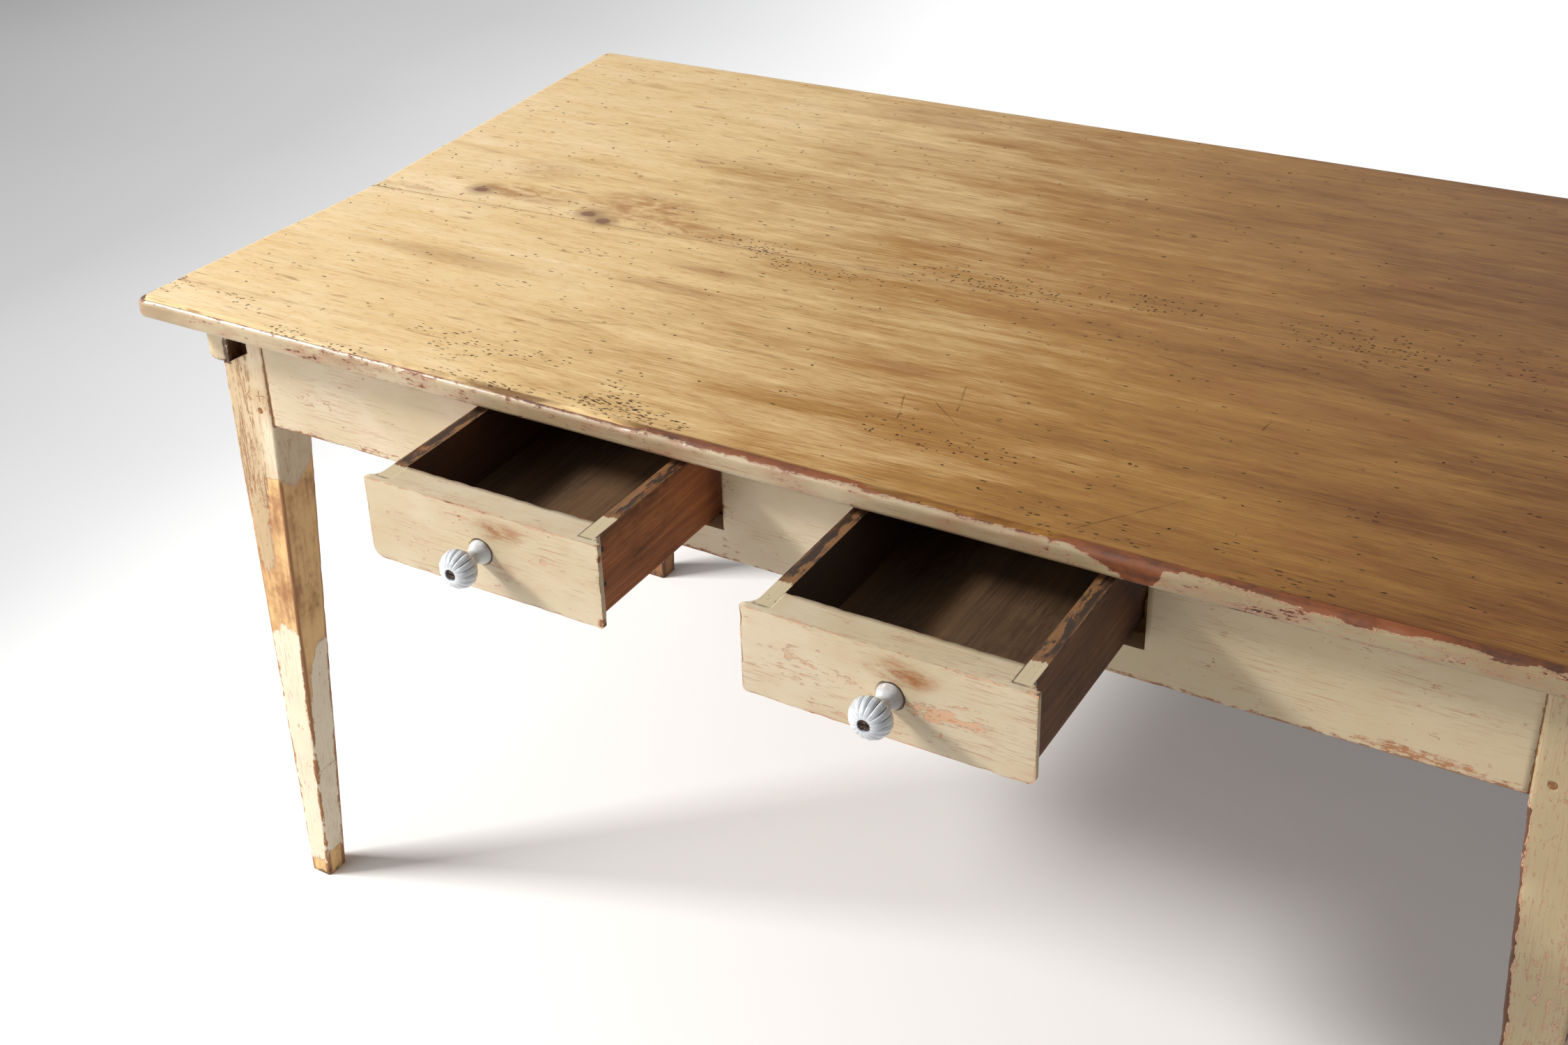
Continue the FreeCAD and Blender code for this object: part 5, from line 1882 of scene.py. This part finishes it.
@dataclass
class Studio:
    """The camera, the floor, one window-like lamp from the left and a soft white surround."""

    frame_width: float = 2250.0
    frame_height: float = 1500.0
    focal_pixels: float = 2899.3
    centre_pixels: Point2 = (941.9, 603.8)
    place: tuple[float, float, float] = (0.7771, -1.6032, 1.6137)
    yaw: float = math.radians(34.79)
    pitch: float = math.radians(28.28)
    roll: float = math.radians(-3.70)
    sensor: float = 36.0
    floor_size: float = 30.0
    lamp_place: tuple[float, float, float] = (-4.78, -2.87, 4.50)
    lamp_target: tuple[float, float, float] = (-0.35, -0.20, 0.60)
    lamp_width: float = 2.0
    lamp_height: float = 0.60
    lamp_power: float = 530.0
    lamp_colour: tuple[float, float, float] = (1.0, 0.975, 0.94)
    fill_place: tuple[float, float, float] = (-2.1, -2.7, 2.0)
    fill_target: tuple[float, float, float] = (-0.2, -0.3, 0.65)
    fill_width: float = 2.4
    fill_height: float = 1.6
    fill_power: float = 44.0
    fill_colour: tuple[float, float, float] = (1.0, 0.98, 0.95)
    surround: float = 0.215
    surround_colour: Colour = (0.97, 0.98, 1.0, 1.0)
    view_depth: float = 100.0

    def camera(self) -> None:
        """Place the camera."""
        level_share = math.cos(self.pitch)
        forward = Vector((
            -math.sin(self.yaw) * level_share, math.cos(self.yaw) * level_share, -math.sin(self.pitch)
        ))
        level = Vector((math.cos(self.yaw), math.sin(self.yaw), 0.0))
        upward = level.cross(forward)
        right = level * math.cos(self.roll) + upward * math.sin(self.roll)
        up = upward * math.cos(self.roll) - level * math.sin(self.roll)
        data = bpy.data.cameras.new("camera")
        data.sensor_width = self.sensor
        data.lens = self.focal_pixels * self.sensor / self.frame_width
        data.shift_x = (self.frame_width / 2 - self.centre_pixels[0]) / self.frame_width
        data.shift_y = (self.centre_pixels[1] - self.frame_height / 2) / self.frame_width
        data.clip_end = self.view_depth
        camera = bpy.data.objects.new("camera", data)
        turn = Matrix((right, up, -forward)).transposed().to_4x4()
        camera.matrix_world = Matrix.Translation(self.place) @ turn
        bpy.context.scene.collection.objects.link(camera)
        bpy.context.scene.camera = camera

    @staticmethod
    def _lamp(
        name: str, place: Sequence[float], target: Sequence[float], size: Point2, power: float,
        colour: Sequence[float],
    ) -> None:
        """Place one rectangular lamp.

        Args:
            name: its name.
            place: where it stands.
            target: the point that it faces.
            size: its width and height.
            power: its power in watts.
            colour: its colour.

        Returns:
            None.
        """
        data = bpy.data.lights.new(name, "AREA")
        data.shape = "RECTANGLE"
        data.size, data.size_y = size
        data.energy = power
        data.color = colour
        lamp = bpy.data.objects.new(name, data)
        lamp.location = place
        direction = Vector(target) - Vector(place)
        lamp.rotation_euler = direction.to_track_quat("-Z", "Y").to_euler()
        bpy.context.scene.collection.objects.link(lamp)

    def lights(self) -> None:
        """Place both lamps and set the surround."""
        self._lamp(
            "window_lamp", self.lamp_place, self.lamp_target, (self.lamp_width, self.lamp_height),
            self.lamp_power, self.lamp_colour,
        )
        self._lamp(
            "soft_fill", self.fill_place, self.fill_target, (self.fill_width, self.fill_height),
            self.fill_power, self.fill_colour,
        )
        world = bpy.data.worlds.new("surround")
        bpy.context.scene.world = world
        world.use_nodes = True
        nodes, links = world.node_tree.nodes, world.node_tree.links
        nodes.clear()
        path = nodes.new("ShaderNodeLightPath")
        seen = path.outputs["Is Camera Ray"]
        for ray in ("Is Glossy Ray", "Is Transmission Ray"):
            either = nodes.new("ShaderNodeMath")
            either.operation = "MAXIMUM"
            links.new(seen, either.inputs[0])
            links.new(path.outputs[ray], either.inputs[1])
            seen = either.outputs[0]
        background, white, mixed = (nodes.new(kind) for kind in (
            "ShaderNodeBackground", "ShaderNodeBackground", "ShaderNodeMixShader"
        ))
        background.inputs["Color"].default_value = self.surround_colour
        background.inputs["Strength"].default_value = self.surround
        white.inputs["Strength"].default_value = 1.0
        output = nodes.new("ShaderNodeOutputWorld")
        links.new(seen, mixed.inputs["Fac"])
        links.new(background.outputs[0], mixed.inputs[1])
        links.new(white.outputs[0], mixed.inputs[2])
        links.new(mixed.outputs[0], output.inputs["Surface"])

    def floor(self) -> None:
        """Lay the floor."""
        mesh = bmesh.new()
        bmesh.ops.create_grid(mesh, x_segments=4, y_segments=4, size=self.floor_size / 2)
        data = bpy.data.meshes.new("floor")
        mesh.to_mesh(data)
        mesh.free()
        floor = bpy.data.objects.new("floor", data)
        data.materials.append(StudioFloor().material())
        bpy.context.scene.collection.objects.link(floor)

    def build(self) -> None:
        """Set up the whole studio."""
        self.camera()
        self.lights()
        self.floor()
        bpy.context.scene.view_settings.view_transform = "Standard"
        log.info("studio ready")


def main() -> None:
    """Build the table around its frame."""
    logging.basicConfig(level=logging.INFO, format="%(message)s")
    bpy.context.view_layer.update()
    Studio().build()
    TableTop().build()
    Base().build()
    Drawers().build()
    Woodwork().dress()


if __name__ == "__main__":
    main()
